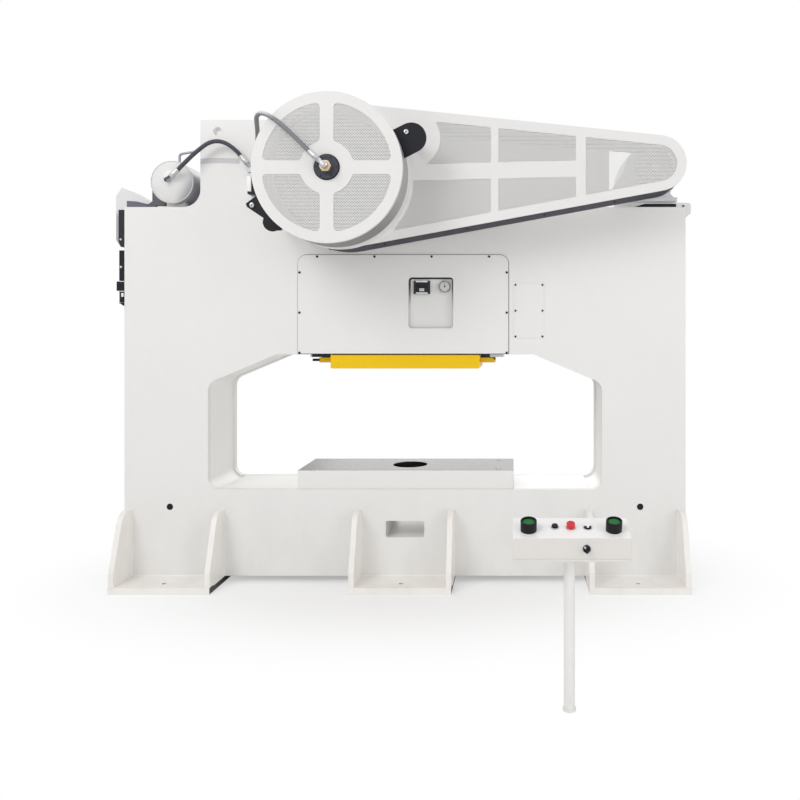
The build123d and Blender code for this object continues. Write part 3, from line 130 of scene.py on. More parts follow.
def ringPiece(rings, capped=False):
    # A piece from rings of points; a ring of one point closes an end
    points = []
    numbers = []
    for corners in rings:
        numbers.append(range(len(points), len(points) + len(corners)))
        points += corners
    faces = [numbers[0][::-1], numbers[-1]] if capped else []
    for lower, upper in zip(numbers, numbers[1:]):
        segments = max(len(lower), len(upper))
        for step in range(segments):
            after = (step + 1) % segments
            if len(lower) == 1:
                faces.append((lower[0], upper[after], upper[step]))
            elif len(upper) == 1:
                faces.append((lower[step], lower[after], upper[0]))
            else:
                faces.append((lower[step], lower[after], upper[after], upper[step]))
    return meshPiece(points, faces)


def turnedPiece(profile, place, direction, segments=24, degrees=35):
    # Rings of (radius, height) along local Z, hexagonal with a third entry; radius 0 closes an end
    obj = ringPiece([[(x, y, height) for x, y in (ring(radius, segments, bool(shape)) if radius else [(0, 0)])]
                     for radius, height, *shape in profile])
    obj.matrix_world = aimed(place, direction)
    return tidyMesh(obj, degrees)


def turnedRing(section, place, direction, segments=24, degrees=35):
    # A ring with a closed section of (radius, height) corners
    return turnedPiece(section + section[:1], place, direction, segments, degrees)


def tubePiece(facts, place, direction, segments):
    # A square-edged tube; facts = inner and outer radius, low and high end
    inner, outer, low, high = facts
    return turnedRing([(inner, low), (outer, low), (outer, high), (inner, high)], place, direction, segments)


def slabPiece(low, high, edge=0.001):
    # A block with rounded edges
    low, high = Vector(low), Vector(high)
    spread = Matrix.Translation((low + high) / 2) @ Matrix.Diagonal((*(high - low), 1))
    work = bmesh.new()
    bmesh.ops.create_cube(work, size=1, matrix=spread)
    bmesh.ops.bevel(work, geom=work.edges[:], offset=edge, segments=2, profile=0.5, affect="EDGES")
    return softShaded(workedPiece(work), 50)


def slabAt(origin, corners, edge):
    # Low and high corners from an origin
    return slabPiece(*[origin + Vector(corner) for corner in corners], edge)


def platePiece(outline, front, back, edge=0.0005):
    # A flat plate from an outline of (x, z) corners, between two depths, with broken edges
    work = bmesh.new()
    face = work.faces.new([work.verts.new((x, front, z)) for x, z in outline])
    grown = bmesh.ops.extrude_face_region(work, geom=[face])
    moved = [item for item in grown["geom"] if isinstance(item, bmesh.types.BMVert)]
    bmesh.ops.translate(work, verts=moved, vec=(0, back - front, 0))
    bmesh.ops.recalc_face_normals(work, faces=work.faces)
    if edge:
        bmesh.ops.bevel(work, geom=work.edges[:], offset=edge, segments=1, affect="EDGES")
    return workedPiece(work)


def roundedLoop(facts, grow):
    # A rounded rectangle in X and Z, grown outwards; radii anticlockwise from low left
    (left, bottom), (right, top) = facts["low"], facts["high"]
    middles = [(left, bottom, 1, 1, 180), (right, bottom, -1, 1, 270), (right, top, -1, -1, 0), (left, top, 1, -1, 90)]
    points = []
    for (x, z, inX, inZ, first), radius in zip(middles, facts["radii"]):
        for step in range(9):
            angle = math.radians(first + step * 11.25)
            reach = radius + grow
            points.append((x + inX * radius + reach * math.cos(angle), z + inZ * radius + reach * math.sin(angle)))
    return points


def stripPiece(inner, outer, front, back):
    # A flat band between two loops of as many (x, z) corners
    sides = ((inner, front), (outer, front), (outer, back), (inner, back), (inner, front))
    return tidyMesh(ringPiece([[(x, y, z) for x, z in loop] for loop, y in sides]))


def islands(node):
    # The separate solids of a CAD node, each as (points, faces)
    work = bmesh.new()
    work.from_mesh(nodes[node].data)
    bmesh.ops.remove_doubles(work, verts=work.verts, dist=mergeDistance)
    work.verts.ensure_lookup_table()
    left = set(range(len(work.verts)))
    found = []
    while left:
        group = {left.pop()}
        stack = list(group)
        while stack:
            vert = work.verts[stack.pop()]
            near = {edge.other_vert(vert).index for edge in vert.link_edges} - group
            group |= near
            stack += near
        left -= group
        order = sorted(group)
        number = {vert: index for index, vert in enumerate(order)}
        faces = sorted({face.index for vert in order for face in work.verts[vert].link_faces})
        work.faces.ensure_lookup_table()
        found.append(([work.verts[vert].co.copy() for vert in order],
                      [[number[vert.index] for vert in work.faces[face].verts] for face in faces]))
    work.free()
    return found


def extent(points):
    return Vector([*map(min, zip(*points))]), Vector([*map(max, zip(*points))])


def solidBoxes(node):
    return [extent(points) for points, faces in islands(node)]


def middleOf(node):
    low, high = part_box(node)
    return (low + high) / 2


def dress(name, obj, finish, standsFor=None, body="frame"):
    # A new piece, or a list of parts, gets its name, finish and body, and may stand for a CAD node
    if isinstance(obj, list):
        obj = joined(obj)
    obj.name = obj.data.name = name
    obj.data.materials.clear()
    obj.data.materials.append(finishes[finish])
    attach(obj, body)
    if standsFor:
        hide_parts(standsFor)
    return obj


# Shader maths

class Flow:
    # A socket in a material's node tree; arithmetic on it adds Math nodes
    def __init__(self, tree, socket=None):
        self.tree = tree
        self.socket = socket

    def node(self, kind, settings=None, values=None, out=0):
        made = self.tree.nodes.new("ShaderNode" + kind)
        for key, value in (settings or {}).items():
            setattr(made, key, value)
        for key, value in (values or {}).items():
            if isinstance(value, Flow):
                self.tree.links.new(value.socket, made.inputs[key])
            else:
                made.inputs[key].default_value = value
        return Flow(self.tree, made.outputs[out] if len(made.outputs) else None)

    def maths(self, operation, first, second=0.0):
        return self.node("Math", {"operation": operation}, {0: first, 1: second})

    def __add__(self, other):
        return self.maths("ADD", self, other)

    __radd__ = __add__

    def __sub__(self, other):
        return self.maths("SUBTRACT", self, other)

    def __rsub__(self, other):
        return self.maths("SUBTRACT", other, self)

    def __mul__(self, other):
        return self.maths("MULTIPLY", self, other)

    __rmul__ = __mul__

    def above(self, edge, soft):
        # 0 below an edge, 1 above it, a soft step between
        return self.node("MapRange", {"interpolation_type": "SMOOTHSTEP"},
                         {"Value": self, "From Min": edge, "From Max": edge + soft})

    def blend(self, first, second):
        # The first colour where this is 0, the second where it is 1
        return self.node("Mix", {"data_type": "RGBA"}, {0: self, 6: first, 7: second}, 2)

    def noise(self, scale, detail, roughness):
        return self.node("TexNoise", None,
                         {"Vector": self, "Scale": scale, "Detail": detail, "Roughness": roughness})

    def stretched(self, scale):
        return self.node("Mapping", None, {"Vector": self, "Scale": scale})

    def show(self, output="OutputMaterial"):
        self.node(output, None, {"Surface": self})

    def along(self, direction):
        # How far a vector reaches in a direction
        return self.node("VectorMath", {"operation": "DOT_PRODUCT"}, {0: self, 1: direction}, 1)


def colour(screen, share=1):
    # A screen colour from 0 to 255, times a share, as a shader's linear colour
    def linear(value):
        value /= 255
        return value / 12.92 if value <= 0.04045 else ((value + 0.055) / 1.055) ** 2.4
    return (*(min(1, linear(value) * share) for value in screen), 1)


def newMaterial():
    # An empty material, the start of its nodes and the place on the object
    material = bpy.data.materials.new("finish")
    material.use_nodes = True
    material.node_tree.nodes.clear()
    start = Flow(material.node_tree)
    return material, start, start.node("TexCoord", out=3)


def softEdges(start, radius):
    # The rounded normal of an edge, and a mask that is 1 on it
    bent = start.node("Bevel", {"samples": 4}, {"Radius": radius})
    flat = start.node("NewGeometry", out=3)
    return bent, (1 - bent.along(flat)).above(0.02, 0.16)


def finished(start, fixed, base, roughness, bump):
    # bump = height, strength, distance and, where edges are rounded, their normal
    relief = start.node("Bump", None, dict(zip(("Height", "Strength", "Distance", "Normal"), bump)))
    start.node("BsdfPrincipled", None,
               {**fixed, "Base Color": base, "Roughness": roughness, "Normal": relief}).show()


# Noise as (scale, detail, roughness); shades as shares of the tint; heights and distances in metres
paintSet = {"cloud": (1.7, 4.0, 0.55), "speck": (38, 4.0, 0.6), "skin": (420, 2.0, 0.5), "shades": (0.955, 1.035),
            "rubbed": 0.8, "peel": 0.00006, "streak": (1.6, 5.0, 0.55), "run": (5, 5, 2.0), "dust": (150, 145, 136),
            "dustBand": (0.02, 0.75)}
metalSet = {"stains": (9, 5.0, 0.6), "shades": (0.82, 1.12), "stain": 0.25, "stained": 0.55, "bright": 1.35,
            "edge": 0.0008}
plasticSet = {"dust": (26, 4.0, 0.6), "shades": (0.9, 1.12), "bright": 1.4, "edge": 0.0006}
braidSet = {"scale": 130, "distortion": 2.0, "relief": 0.0005}


def shaded(mask, tint, shades):
    return mask.blend(*[colour(tint, share) for share in shades])


def paint(tint, rough=0.4, soil=0.0, edge=0.0018, wear=0.35, coat=0.15, beyond=None, facing=None, gloss=0.45):
    # Sprayed enamel: orange peel, faint clouds, thin rubbed edges, and dust that gathers low down
    # beyond = (direction, distance, softness, tint) past a plane
    # facing = (direction, tint, depth) where the surface looks that way, behind a depth in Y
    material, start, place = newMaterial()
    cloud, speck, skin = [place.noise(*paintSet[key]) for key in ("cloud", "speck", "skin")]
    bent, rim = softEdges(start, edge)
    base = shaded(cloud * 0.6 + speck * 0.4, tint, paintSet["shades"])
    if beyond:
        direction, distance, softness, other = beyond
        base = place.along(direction).above(distance, softness).blend(base, colour(other))
    if facing:
        direction, other, depth = facing
        looks = start.node("NewGeometry", out=1).along(direction).above(0.35, 0.45)
        base = (looks * place.along(inward).above(depth, 0.0005)).blend(base, colour(other))
    base = (rim * speck.above(0.42, 0.2) * wear).blend(base, colour(tint, paintSet["rubbed"]))
    if soil:
        streak = place.stretched(paintSet["run"]).noise(*paintSet["streak"])
        low = 1 - place.along(upward).above(*paintSet["dustBand"])
        base = (low * streak.above(0.38, 0.3) * soil).blend(base, colour(paintSet["dust"]))
    finished(start, {"Coat Weight": coat, "Coat Roughness": 0.25, "Specular IOR Level": gloss}, base,
             speck * 0.12 + (rough - 0.06), (skin + speck * 0.4, 0.5, paintSet["peel"], bent))
    return material


def metal(tint, rough=0.35, grain=(1, 1, 1), relief=0.00004, shine=1.0, scale=160):
    # Worked metal: fine tool marks along the grain, faint stains, bright edges
    material, start, place = newMaterial()
    marks = place.stretched(grain).noise(scale, 5.0, 0.65)
    stains = place.noise(*metalSet["stains"])
    bent, rim = softEdges(start, metalSet["edge"])
    base = shaded(marks, tint, metalSet["shades"])
    base = (stains.above(0.5, 0.25) * metalSet["stain"]).blend(base, colour(tint, metalSet["stained"]))
    base = (rim * 0.5).blend(base, colour(tint, metalSet["bright"]))
    finished(start, {"Metallic": shine, "Specular IOR Level": 0.5}, base,
             marks * 0.2 + stains * 0.12 + (rough - 0.16), (marks, 0.6, relief, bent))
    return material


def plastic(tint, rough=0.35, relief=0.00003, scale=700, clear=0.0):
    # Moulded plastic or rubber with a fine skin and slight dust
    material, start, place = newMaterial()
    skin = place.noise(scale, 3.0, 0.6)
    dust = place.noise(*plasticSet["dust"])
    bent, rim = softEdges(start, plasticSet["edge"])
    base = (rim * 0.25).blend(shaded(dust, tint, plasticSet["shades"]), colour(tint, plasticSet["bright"]))
    finished(start, {"Coat Weight": clear, "Specular IOR Level": 0.25}, base,
             dust * 0.15 + (rough - 0.07), (skin, 0.6, relief, bent))
    return material


def hoseSkin(tint, light, top=None):
    # Braid cover: two sets of fine crossing strands over dark rubber; top = (height, tint) for a painted highlight on
    # upward faces above a height
    material, start, place = newMaterial()
    bands = {"wave_type": "BANDS", "bands_direction": "DIAGONAL"}
    wave = {"Scale": braidSet["scale"], "Distortion": braidSet["distortion"]}
    first = start.node("TexWave", bands, {**wave, "Vector": place, "Detail": 2.0}, 1)
    second = start.node("TexWave", bands, {**wave, "Vector": place.stretched((-1, 1, 1))}, 1)
    weave = start.maths("MAXIMUM", first, second)
    base = weave.above(0.55, 0.4).blend(colour(tint), colour(light))
    if top:
        looks = start.node("NewGeometry", out=1).along(upward).above(-0.5, 0.9)
        base = (place.along(upward).above(top[0], 0.06) * looks).blend(base, colour(top[1]))
    finished(start, {"Specular IOR Level": 0.5}, base, 0.55 - weave * 0.15, (weave, 0.7, braidSet["relief"]))
    return material


def glass():
    material, start = newMaterial()[:2]
    clear = start.node("BsdfTransparent", None, {"Color": (0.96, 0.97, 0.97, 1)})
    gloss = start.node("BsdfGlossy", None, {"Roughness": 0.04})
    rim = start.node("LayerWeight", None, {"Blend": 0.25})
    start.node("MixShader", None, {0: rim * 0.5 + 0.04, 1: clear, 2: gloss}).show()
    return material


# Tint as a screen colour, then roughness
downward, rightward = (0, 0, -1), (1, 0, 0)
finishes = {
    "frame_paint": paint((238, 237, 235), soil=0.06),
    # feet and plates: a lighter copy of the frame paint, painted light on the feet and gussets
    "feet": paint((250, 247, 243), 0.45, soil=0.07),
    # plates also paint their faces that look along +X near black, painted shade on the foot plates' sides
    "plates": paint((250, 247, 243), 0.45, soil=0.07, facing=(rightward, (34, 33, 31), -3)),
    "guard_paint": paint((234, 232, 231), 0.36),
    # belt: downward faces of the guard's skirt, behind Y -0.5165, are painted dark blue-grey, painted shade under the
    # guard
    "belt": paint((236, 234, 233), 0.5, coat=0.0, gloss=0.15, facing=(downward, (50, 49, 62), -0.5165)),
    "mesh_paint": paint((236, 235, 234), edge=0.0004, wear=0.1),
    # sleeve: downward faces of the drum sleeve are painted darker grey, painted shade on its underside
    "sleeve": paint((188, 186, 184), edge=0.0004, wear=0.1, facing=(downward, (116, 115, 118), -1)),
    # grey: below Z 2.19 the side trunk is painted bluish grey, painted shade on its lower part
    "grey": paint((230, 230, 231), 0.42, beyond=(downward, -2.19, 0.05, (178, 178, 184))),
    "slate": paint((84, 85, 94), 0.5, wear=0.2),
    "shade": paint((42, 42, 48), 0.5, wear=0.2, gloss=0.2),
    # tank: faces that look right and down are painted bluish grey, painted shade; in front of Y -0.2832 the elbow is
    # black
    "tank": paint((236, 235, 234), 0.3, coat=0.4, beyond=(outward, 0.2832, 0.0004, (58, 58, 62)),
                  facing=((0.87, 0, -0.5), (160, 161, 170), -1)),
    # trim: near black over the top of the recess band, fading downwards, painted shade inside the recess
    "trim": paint((228, 226, 222), beyond=(upward, 1.56, 0.18, (16, 16, 18)), gloss=0.2),
    "seam": paint((205, 205, 207), 0.5, wear=0.1),
    # arm: dark bluish grey of the trunk's arm sheet, painted shade under the trunk's lump
    "arm": paint((100, 100, 115), 0.5, wear=0.2),
    "bed": paint((238, 237, 235), 0.4, facing=(upward, (104, 102, 103), -1)),
    "ram_paint": paint((245, 200, 14), 0.42, wear=0.5, coat=0.05, gloss=0.2),
    "motor_paint": paint((212, 213, 216), 0.45),
    "console_panel": paint((252, 251, 250), 0.35),
    "case": paint((226, 222, 217), 0.42),
    # liner: a lighter copy of the frame paint, with upward faces pure white, painted light inside the windows
    "liner": paint((246, 245, 243), facing=(upward, (255, 255, 255), -3)),
    "bezel": metal((98, 98, 102), 0.4, scale=420, shine=0.7),
    "cast_iron": metal((104, 104, 106), 0.62, relief=0.0004, scale=210, shine=0.35),
    "gear_steel": metal((150, 149, 146), 0.4, grain=(1, 12, 1)),
    "machined_steel": metal((198, 199, 200), 0.38, grain=(1, 26, 1), shine=0.75),
    "gauge_metal": metal((205, 206, 208), 0.28, scale=420),
    "nickel": metal((158, 160, 164), 0.32, scale=420),
    "air_pipe": metal((160, 163, 172), 0.42, scale=420, shine=0.6),
    "bronze": metal((176, 134, 84), 0.4),
    "brass": metal((222, 198, 160), 0.36, scale=420, shine=0.8),
    "black_parts": plastic((22, 23, 30), 0.45, relief=0.00006, scale=420),
    "screw": metal((46, 46, 48), 0.42, scale=500, shine=0.6),
    "navy": paint((38, 44, 56), 0.4, wear=0.3),
    "belt_rubber": plastic((30, 30, 31), 0.7, relief=0.0001),
    "hose_rubber": hoseSkin((30, 30, 40), (80, 80, 92)),
    # paleHose: a painted highlight, near white on its top above Z 2.5
    "paleHose": hoseSkin((84, 85, 92), (150, 151, 157), (2.5, (226, 226, 229))),
    "counter_plastic": plastic((40, 41, 44), 0.35),
    "dial": plastic((236, 236, 232), 0.5),
    "green_plastic": plastic((6, 108, 44), 0.32, clear=0.1),
    "red_plastic": plastic((216, 46, 60), 0.3, clear=0.15),
    "umber": paint((92, 82, 77), 0.45),
    "black_plastic": plastic((15, 15, 17), 0.42, clear=0.05),
    "glass": glass(),
}
for name, material in finishes.items():
    material.name = name
nodeFinish = {"foot_plates": "plates", "foot_gussets": "feet", "side_trunk": "grey", "clutch_valve": "nickel",
              "belt_guard": "belt", "air_tank": "tank", "bolster": "bed", "window_liner_left": "liner",
              "window_liner_right": "liner", "bed_deck": "liner", "console_case": "case", "gauge_case": "bezel",
              "gauge_needle": "black_plastic"}
for part in frame["record"]["subparts"]:
    made = finishes[nodeFinish.get(part["node"], part["material_slot"])]
    obj = nodes[part["node"]]
    if obj.material_slots:
        for holder in obj.material_slots:
            holder.material = made
    else:
        obj.data.materials.append(made)
print("stage: finishes made")


# Camera at the photograph's angle, eye height, looking straight into the machine

cameraData = bpy.data.cameras.new("camera")
cameraData.lens = 33.885
cameraData.sensor_width = 36
cameraData.shift_x, cameraData.shift_y = -0.14125, -0.08625
scene.camera = placed("camera", cameraData)
scene.camera.location = (0.6264, -4.5974, 1.4558)
scene.camera.rotation_euler = (math.pi / 2, 0, 0)


# Air hoses, on the same points as in the part's source

hoses = {
    "tank_hose": {
        "points": [(-1.3274, -0.302, 2.3385), (-1.3006, -0.302, 2.3594), (-1.243, -0.2986, 2.4223),
                   (-1.165, -0.2948, 2.497), (-1.1018, -0.2903, 2.5418), (-1.0319, -0.2842, 2.542),
                   (-0.9649, -0.2764, 2.4965), (-0.9254, -0.265, 2.444), (-0.9034, -0.265, 2.4181)],
        "length": 0.55, "finish": "hose_rubber",
    },
    "clutch_hose": {
        "points": [(-0.3367, -0.887, 2.3038), (-0.362, -0.887, 2.3265), (-0.3958, -0.887, 2.3584),
                   (-0.4803, -0.8853, 2.442), (-0.5378, -0.8771, 2.4933), (-0.5979, -0.8469, 2.5352),
                   (-0.6549, -0.7843, 2.5624), (-0.7, -0.7052, 2.5683), (-0.7279, -0.6205, 2.5578),
                   (-0.7518, -0.5354, 2.5355), (-0.7782, -0.4555, 2.5017), (-0.8083, -0.3834, 2.4636),
                   (-0.843, -0.325, 2.4248), (-0.8549, -0.2995, 2.4058)],
        "length": 1.0, "finish": "paleHose",
    },
}
hoseDiameter = 0.024


def hoseCurve(points):
    data = bpy.data.curves.new("hose", "CURVE")
    data.dimensions = "3D"
    spline = data.splines.new("NURBS")
    spline.points.add(len(points) - 1)
    for point, place in zip(spline.points, points):
        point.co = (*place, 1)
    spline.order_u = 3
    spline.use_endpoint_u = True
    spline.resolution_u = 16
    data.bevel_depth = hoseDiameter / 2
    data.bevel_resolution = 5
    data.use_fill_caps = True
    return placed("hose", data)


def hoseLine(curve):
    # Points along the middle of a hose, read from its spline
    data = curve.data.copy()
    data.bevel_depth = 0
    bare = placed("bareLine", data)
    bpy.context.view_layer.update()
    line = bare.evaluated_get(bpy.context.evaluated_depsgraph_get()).to_mesh()
    points = [vert.co.copy() for vert in line.vertices]
    bpy.data.objects.remove(bare)
    return points


def placeOn(line, distance):
    # The point and the direction at a distance along a line of points
    for first, last in zip(line, line[1:]):
        step = last - first
        if distance <= step.length:
            break
        distance -= step.length
    return first + step.normalized() * distance, step.normalized()


crimp = {"profile": [(0.0136, 0.0285), (0.0136, 0.0305), (0.0142, 0.032)], "count": 4, "pitch": 0.006}
crimps = [(radius, distance + step * crimp["pitch"]) for step in range(crimp["count"])
          for radius, distance in crimp["profile"]]
ferruleProfile = [
    (0.004, 0), (0.014, 0), (0.0155, 0.0015, "hex"), (0.0155, 0.017, "hex"), (0.014, 0.0185), (0.0126, 0.019),
    (0.0126, 0.021), (0.0142, 0.022), (0.0142, 0.027), *crimps,
    (0.0142, 0.0555), (0.0136, 0.057), (0.0126, 0.057), (0.012, 0.055)]


def ferrule(line):
    # A hexagon nut and a crimped sleeve that follow the end of a hose
    rings = []
    for radius, distance, *shape in ferruleProfile:
        place = aimed(*placeOn(line, distance))
        rings.append([place @ Vector((x, y, 0)) for x, y in ring(radius, 24, bool(shape))])
    return tidyMesh(ringPiece(rings))


for name, facts in hoses.items():
    curve = hoseCurve(facts["points"])
    line = hoseLine(curve)
    dress(name + "_line", curve, facts["finish"], name)
    ends = [dress(name + "_ferrule_" + end, ferrule(way), "gauge_metal") for end, way in zip("ab", (line, line[::-1]))]
print("stage: camera and hoses")


# Perforated sheets behind the windows of the guards

perforation = {"pane": 0.0084, "drum": 0.008, "sleeve": 0.011, "open": 0.56, "thick": 0.002}


def perforated(shape, columns, rows, inside, pitch):
    # Six-sided cells, each with a hole; shape(u, v, w) places a point of the pattern, w runs through the sheet
    reach = pitch / math.sqrt(3)
    turns = [math.radians(30 + 60 * side) for side in range(6)]
    beside = [(0, 1), (-1, 1), (-1, 0), (0, -1), (1, -1), (1, 0)]
    cells = {}

    def corners(middle, radius):
        return [(middle[0] + radius * math.cos(turn), middle[1] + radius * math.sin(turn)) for turn in turns]

    for row in range(*rows):
        for column in range(*columns):
            middle = (pitch * (column + (row % 2) / 2), pitch * row * math.sqrt(3) / 2)
            rim = corners(middle, reach)
            if all(inside(*corner) for corner in rim):
                cells[(column - row // 2, row)] = (middle, rim)
    points = []
    faces = []
    numbers = {}

    def number(u, v, w):
        key = (round(u * 2e5), round(v * 2e5), w)
        if key not in numbers:
            numbers[key] = len(points)
            points.append(shape(u, v, w * perforation["thick"]))
        return numbers[key]

    for (column, row), (middle, rim) in cells.items():
        hole = corners(middle, reach * perforation["open"])
        outer, inner = [[[number(*corner, w) for corner in loop] for w in (0, 1)] for loop in (rim, hole)]
        for side in range(6):
            after = (side + 1) % 6
            faces.append((outer[0][side], outer[0][after], inner[0][after], inner[0][side]))
            faces.append((outer[1][side], inner[1][side], inner[1][after], outer[1][after]))
            faces.append((inner[0][side], inner[0][after], inner[1][after], inner[1][side]))
            step = beside[side]
            if (column + step[0], row + step[1]) not in cells:
                faces.append((outer[0][side], outer[1][side], outer[1][after], outer[0][after]))
    obj = meshPiece(points, faces)
    obj.data.shade_flat()
    return obj


drumDisc, *guardPanes = sorted(islands("guard_mesh"), key=lambda island: extent(island[0])[0].y)


def paneSheet(panes, pitch, seen=lambda x, z: True):
    # One perforated sheet per flat pane, inside the pane's own outline and where it is seen
    parts = []
    for points, faces in panes:
        low, high = extent(points)
        tree = BVHTree.FromPolygons(points, faces)

        def inside(x, z):
            return seen(x, z) and tree.ray_cast(Vector((x, low.y - 1, z)), Vector(inward))[0] is not None

        rowHigh = pitch * math.sqrt(3) / 2
        columns = (math.floor(low.x / pitch) - 1, math.ceil(high.x / pitch) + 1)
        rows = (math.floor(low.z / rowHigh), math.ceil(high.z / rowHigh) + 1)
        parts.append(perforated(lambda x, z, w: (x, low.y + w, z), columns, rows, inside, pitch))
    sheet = joined(parts)
    sheet.data.shade_flat()
    return sheet


sleeveLow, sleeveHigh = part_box("drum_sleeve")
drumAxis = Vector(((sleeveLow.x + sleeveHigh.x) / 2, 0, (sleeveLow.z + sleeveHigh.z) / 2))
sleeveRadius = (sleeveHigh.x - sleeveLow.x) / 2
drumWindow = {"inner": 0.125, "outer": 0.336, "spoke": 0.025}


def behindDrumWindow(x, z):
    x, z = abs(x - drumAxis.x), abs(z - drumAxis.z)
    return drumWindow["inner"] < math.hypot(x, z) < drumWindow["outer"] and min(x, z) > drumWindow["spoke"]


guardSheet = paneSheet(guardPanes, perforation["pane"])
drumSheet = paneSheet([drumDisc], perforation["drum"], behindDrumWindow)
sleeveColumns = round(2 * math.pi * sleeveRadius / perforation["sleeve"])
sleevePitch = 2 * math.pi * sleeveRadius / sleeveColumns


def sleeveShape(u, v, w):
    angle = round(u / sleeveRadius, 6)
    reach = sleeveRadius - w
    return (drumAxis.x + reach * math.cos(angle), v, drumAxis.z + reach * math.sin(angle))


rowHigh = sleevePitch * math.sqrt(3) / 2
drumSleeve = perforated(sleeveShape, (0, sleeveColumns),
                        (math.ceil(sleeveLow.y / rowHigh), math.floor(sleeveHigh.y / rowHigh)),
                        lambda u, v: sleeveLow.y < v < sleeveHigh.y, sleevePitch)
tidyMesh(drumSleeve, 30)
dress("guard_perforated_sheet", guardSheet, "mesh_paint", standsFor="guard_mesh")
dress("drum_perforated_sheet", drumSheet, "mesh_paint", standsFor="guard_mesh")
dress("drum_perforated_sleeve", drumSleeve, "sleeve", "drum_sleeve")
print("stage: perforated sheets", [len(sheet.data.polygons) for sheet in (guardSheet, drumSheet, drumSleeve)])


# Screws in the place of each plain head

def panScrew(place, out, radius, height, share=0.52):
    # A button head with a hexagon socket
    socket = radius * share
    profile = [(radius * 0.6, -0.001), (radius, 0), (radius, height * 0.28), (radius * 0.93, height * 0.62)]
    profile += [(radius * 0.76, height * 0.9), (radius * 0.6, height), (socket, height, "hex")]
    profile += [(socket, height * 0.35, "hex"), (0, height * 0.3)]
    return turnedPiece(profile, place, out)


def hexBolt(place, out, radius, height):
    # A hexagon head with a chamfered top
    profile = [(radius * 0.7, -0.001), (radius, 0, "hex"), (radius, height * 0.86, "hex"), (radius * 0.84, height)]
    return turnedPiece(profile + [(0, height)], place, out)


def washer(place, out, outer, inner, thick):
    section = [(inner, 0), (outer, 0), (outer, thick * 0.7), (outer - thick * 0.3, thick), (inner, thick)]
    return turnedRing(section, place, out, 32)


screwSet = {"deckHigh": 0.03, "deckWide": 0.028, "earWide": 0.022, "ear": (0.0145, 0.0105, 0.32),
            "earSocket": [(0.0042, 0.0038), (0.0042, 0.0062), (0, 0.0062)]}
screwHeads, earBolts, earSockets = [], [], []
for low, high in solidBoxes("fasteners"):
    size = high - low
    middle = (low + high) / 2
    if size.z < screwSet["deckHigh"] and min(size.x, size.y) > screwSet["deckWide"]:
        screwHeads.append(panScrew((middle.x, middle.y, low.z), upward, size.x / 2, size.z))
    elif size.x > screwSet["earWide"]:
        place = (middle.x, high.y, middle.z)
        earBolts.append(panScrew(place, outward, *screwSet["ear"]))
        earSockets.append(turnedPiece(screwSet["earSocket"], place, outward))
    else:
        y, out = (high.y, outward) if middle.y < 0 else (low.y, inward)
        screwHeads.append(panScrew((middle.x, y, middle.z), out, size.x / 2, size.y))
print("stage: screws", len(screwHeads), len(earBolts))
dress("screw_heads", screwHeads, "screw", "fasteners")
dress("ear_bolts", earBolts, "gauge_metal", standsFor="fasteners")
dress("ear_bolt_sockets", earSockets, "screw")


# Guard trim: small screws under the belt guard

guardScrews = {"places": [(-0.417, -0.44), (-0.41, -0.33), (-0.08, -0.44), (0.375, -0.44), (0.799, -0.44),
                          (1.187, -0.44)], "size": (0.0065, 0.004)}
mesh = nodes["belt_guard"].data
guardTree = BVHTree.FromPolygons([vert.co for vert in mesh.vertices], [list(face.vertices) for face in mesh.polygons])


def guardScrew(x, y):
    # A screw where a ray from below first meets the belt guard
    place, normal = guardTree.ray_cast(Vector((x, y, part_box("belt_guard")[0].z - 0.3)), Vector(upward))[:2]
    return panScrew(place, normal if normal.z < 0 else -normal, *guardScrews["size"])


dress("guard_screws", [guardScrew(*place) for place in guardScrews["places"]], "screw")


# Cover seam, painted shade as a band inside its recess (black at the top, fading down), seam of the head, plugs of the
# side holes, cup of the lifting hole

coverLoop = {"low": (-0.62, 1.325), "high": (0.6, 1.8969), "radii": (0.0004, 0.0004, 0.052, 0.052),
             "inner": 0.0003, "outer": 0.0034, "depths": (-0.2307, -0.2301)}
recessLoop = {"low": (0.02, 1.4719), "high": (0.28, 1.7669), "radii": (0.02, 0.02, 0.02, 0.02),
              "inner": -0.0085, "outer": -0.0004, "depths": (-0.203, -0.2002)}
headSeam = {"ends": (-1.187, -0.96), "line": 2.4406, "rise": 0.004, "half": 0.0145, "steps": 12,
            "depths": (-0.2309, -0.2301)}
liftCup = {"place": (-1.088, 0, 2.615),
           "profile": [(0, 0.202), (0.0238, 0.202), (0.0238, 0.23), (0.023, 0.23), (0.023, 0.2028), (0, 0.2028)]}
sidePlugs = {"x": (-1.364, 1.364), "depth": -0.2065, "height": 0.436,
             "profile": [(0.0186, 0), (0.0186, 0.0205), (0.0172, 0.022), (0, 0.0222)]}
dieHoleShade = {"inner": 0.103, "outer": 0.1046, "drop": 0.0006}

for name, finish, facts in (("cover_seam", "slate", coverLoop), ("recess_painted_shade", "trim", recessLoop)):
    loops = [roundedLoop(facts, facts[grow]) for grow in ("inner", "outer")]
    dress(name, stripPiece(*loops, *facts["depths"]), finish)
parts = [turnedPiece(sidePlugs["profile"], (x, sidePlugs["depth"], sidePlugs["height"]), outward, 32)
         for x in sidePlugs["x"]]
dress("side_plugs", parts, "black_plastic")
left, right = headSeam["ends"]
bottom = []
for part in [step / headSeam["steps"] for step in range(headSeam["steps"] + 1)]:
    z = headSeam["line"] + headSeam["rise"] * math.sin(math.pi * part) - headSeam["half"]
    bottom.append((left * (1 - part) + right * part, z))
top = [(x, z + 2 * headSeam["half"]) for x, z in bottom[::-1]]
dress("head_seam", platePiece(bottom + top, *headSeam["depths"], 0), "seam")
dress("lift_hole_cup", turnedPiece(liftCup["profile"], liftCup["place"], outward, 32), "console_panel")

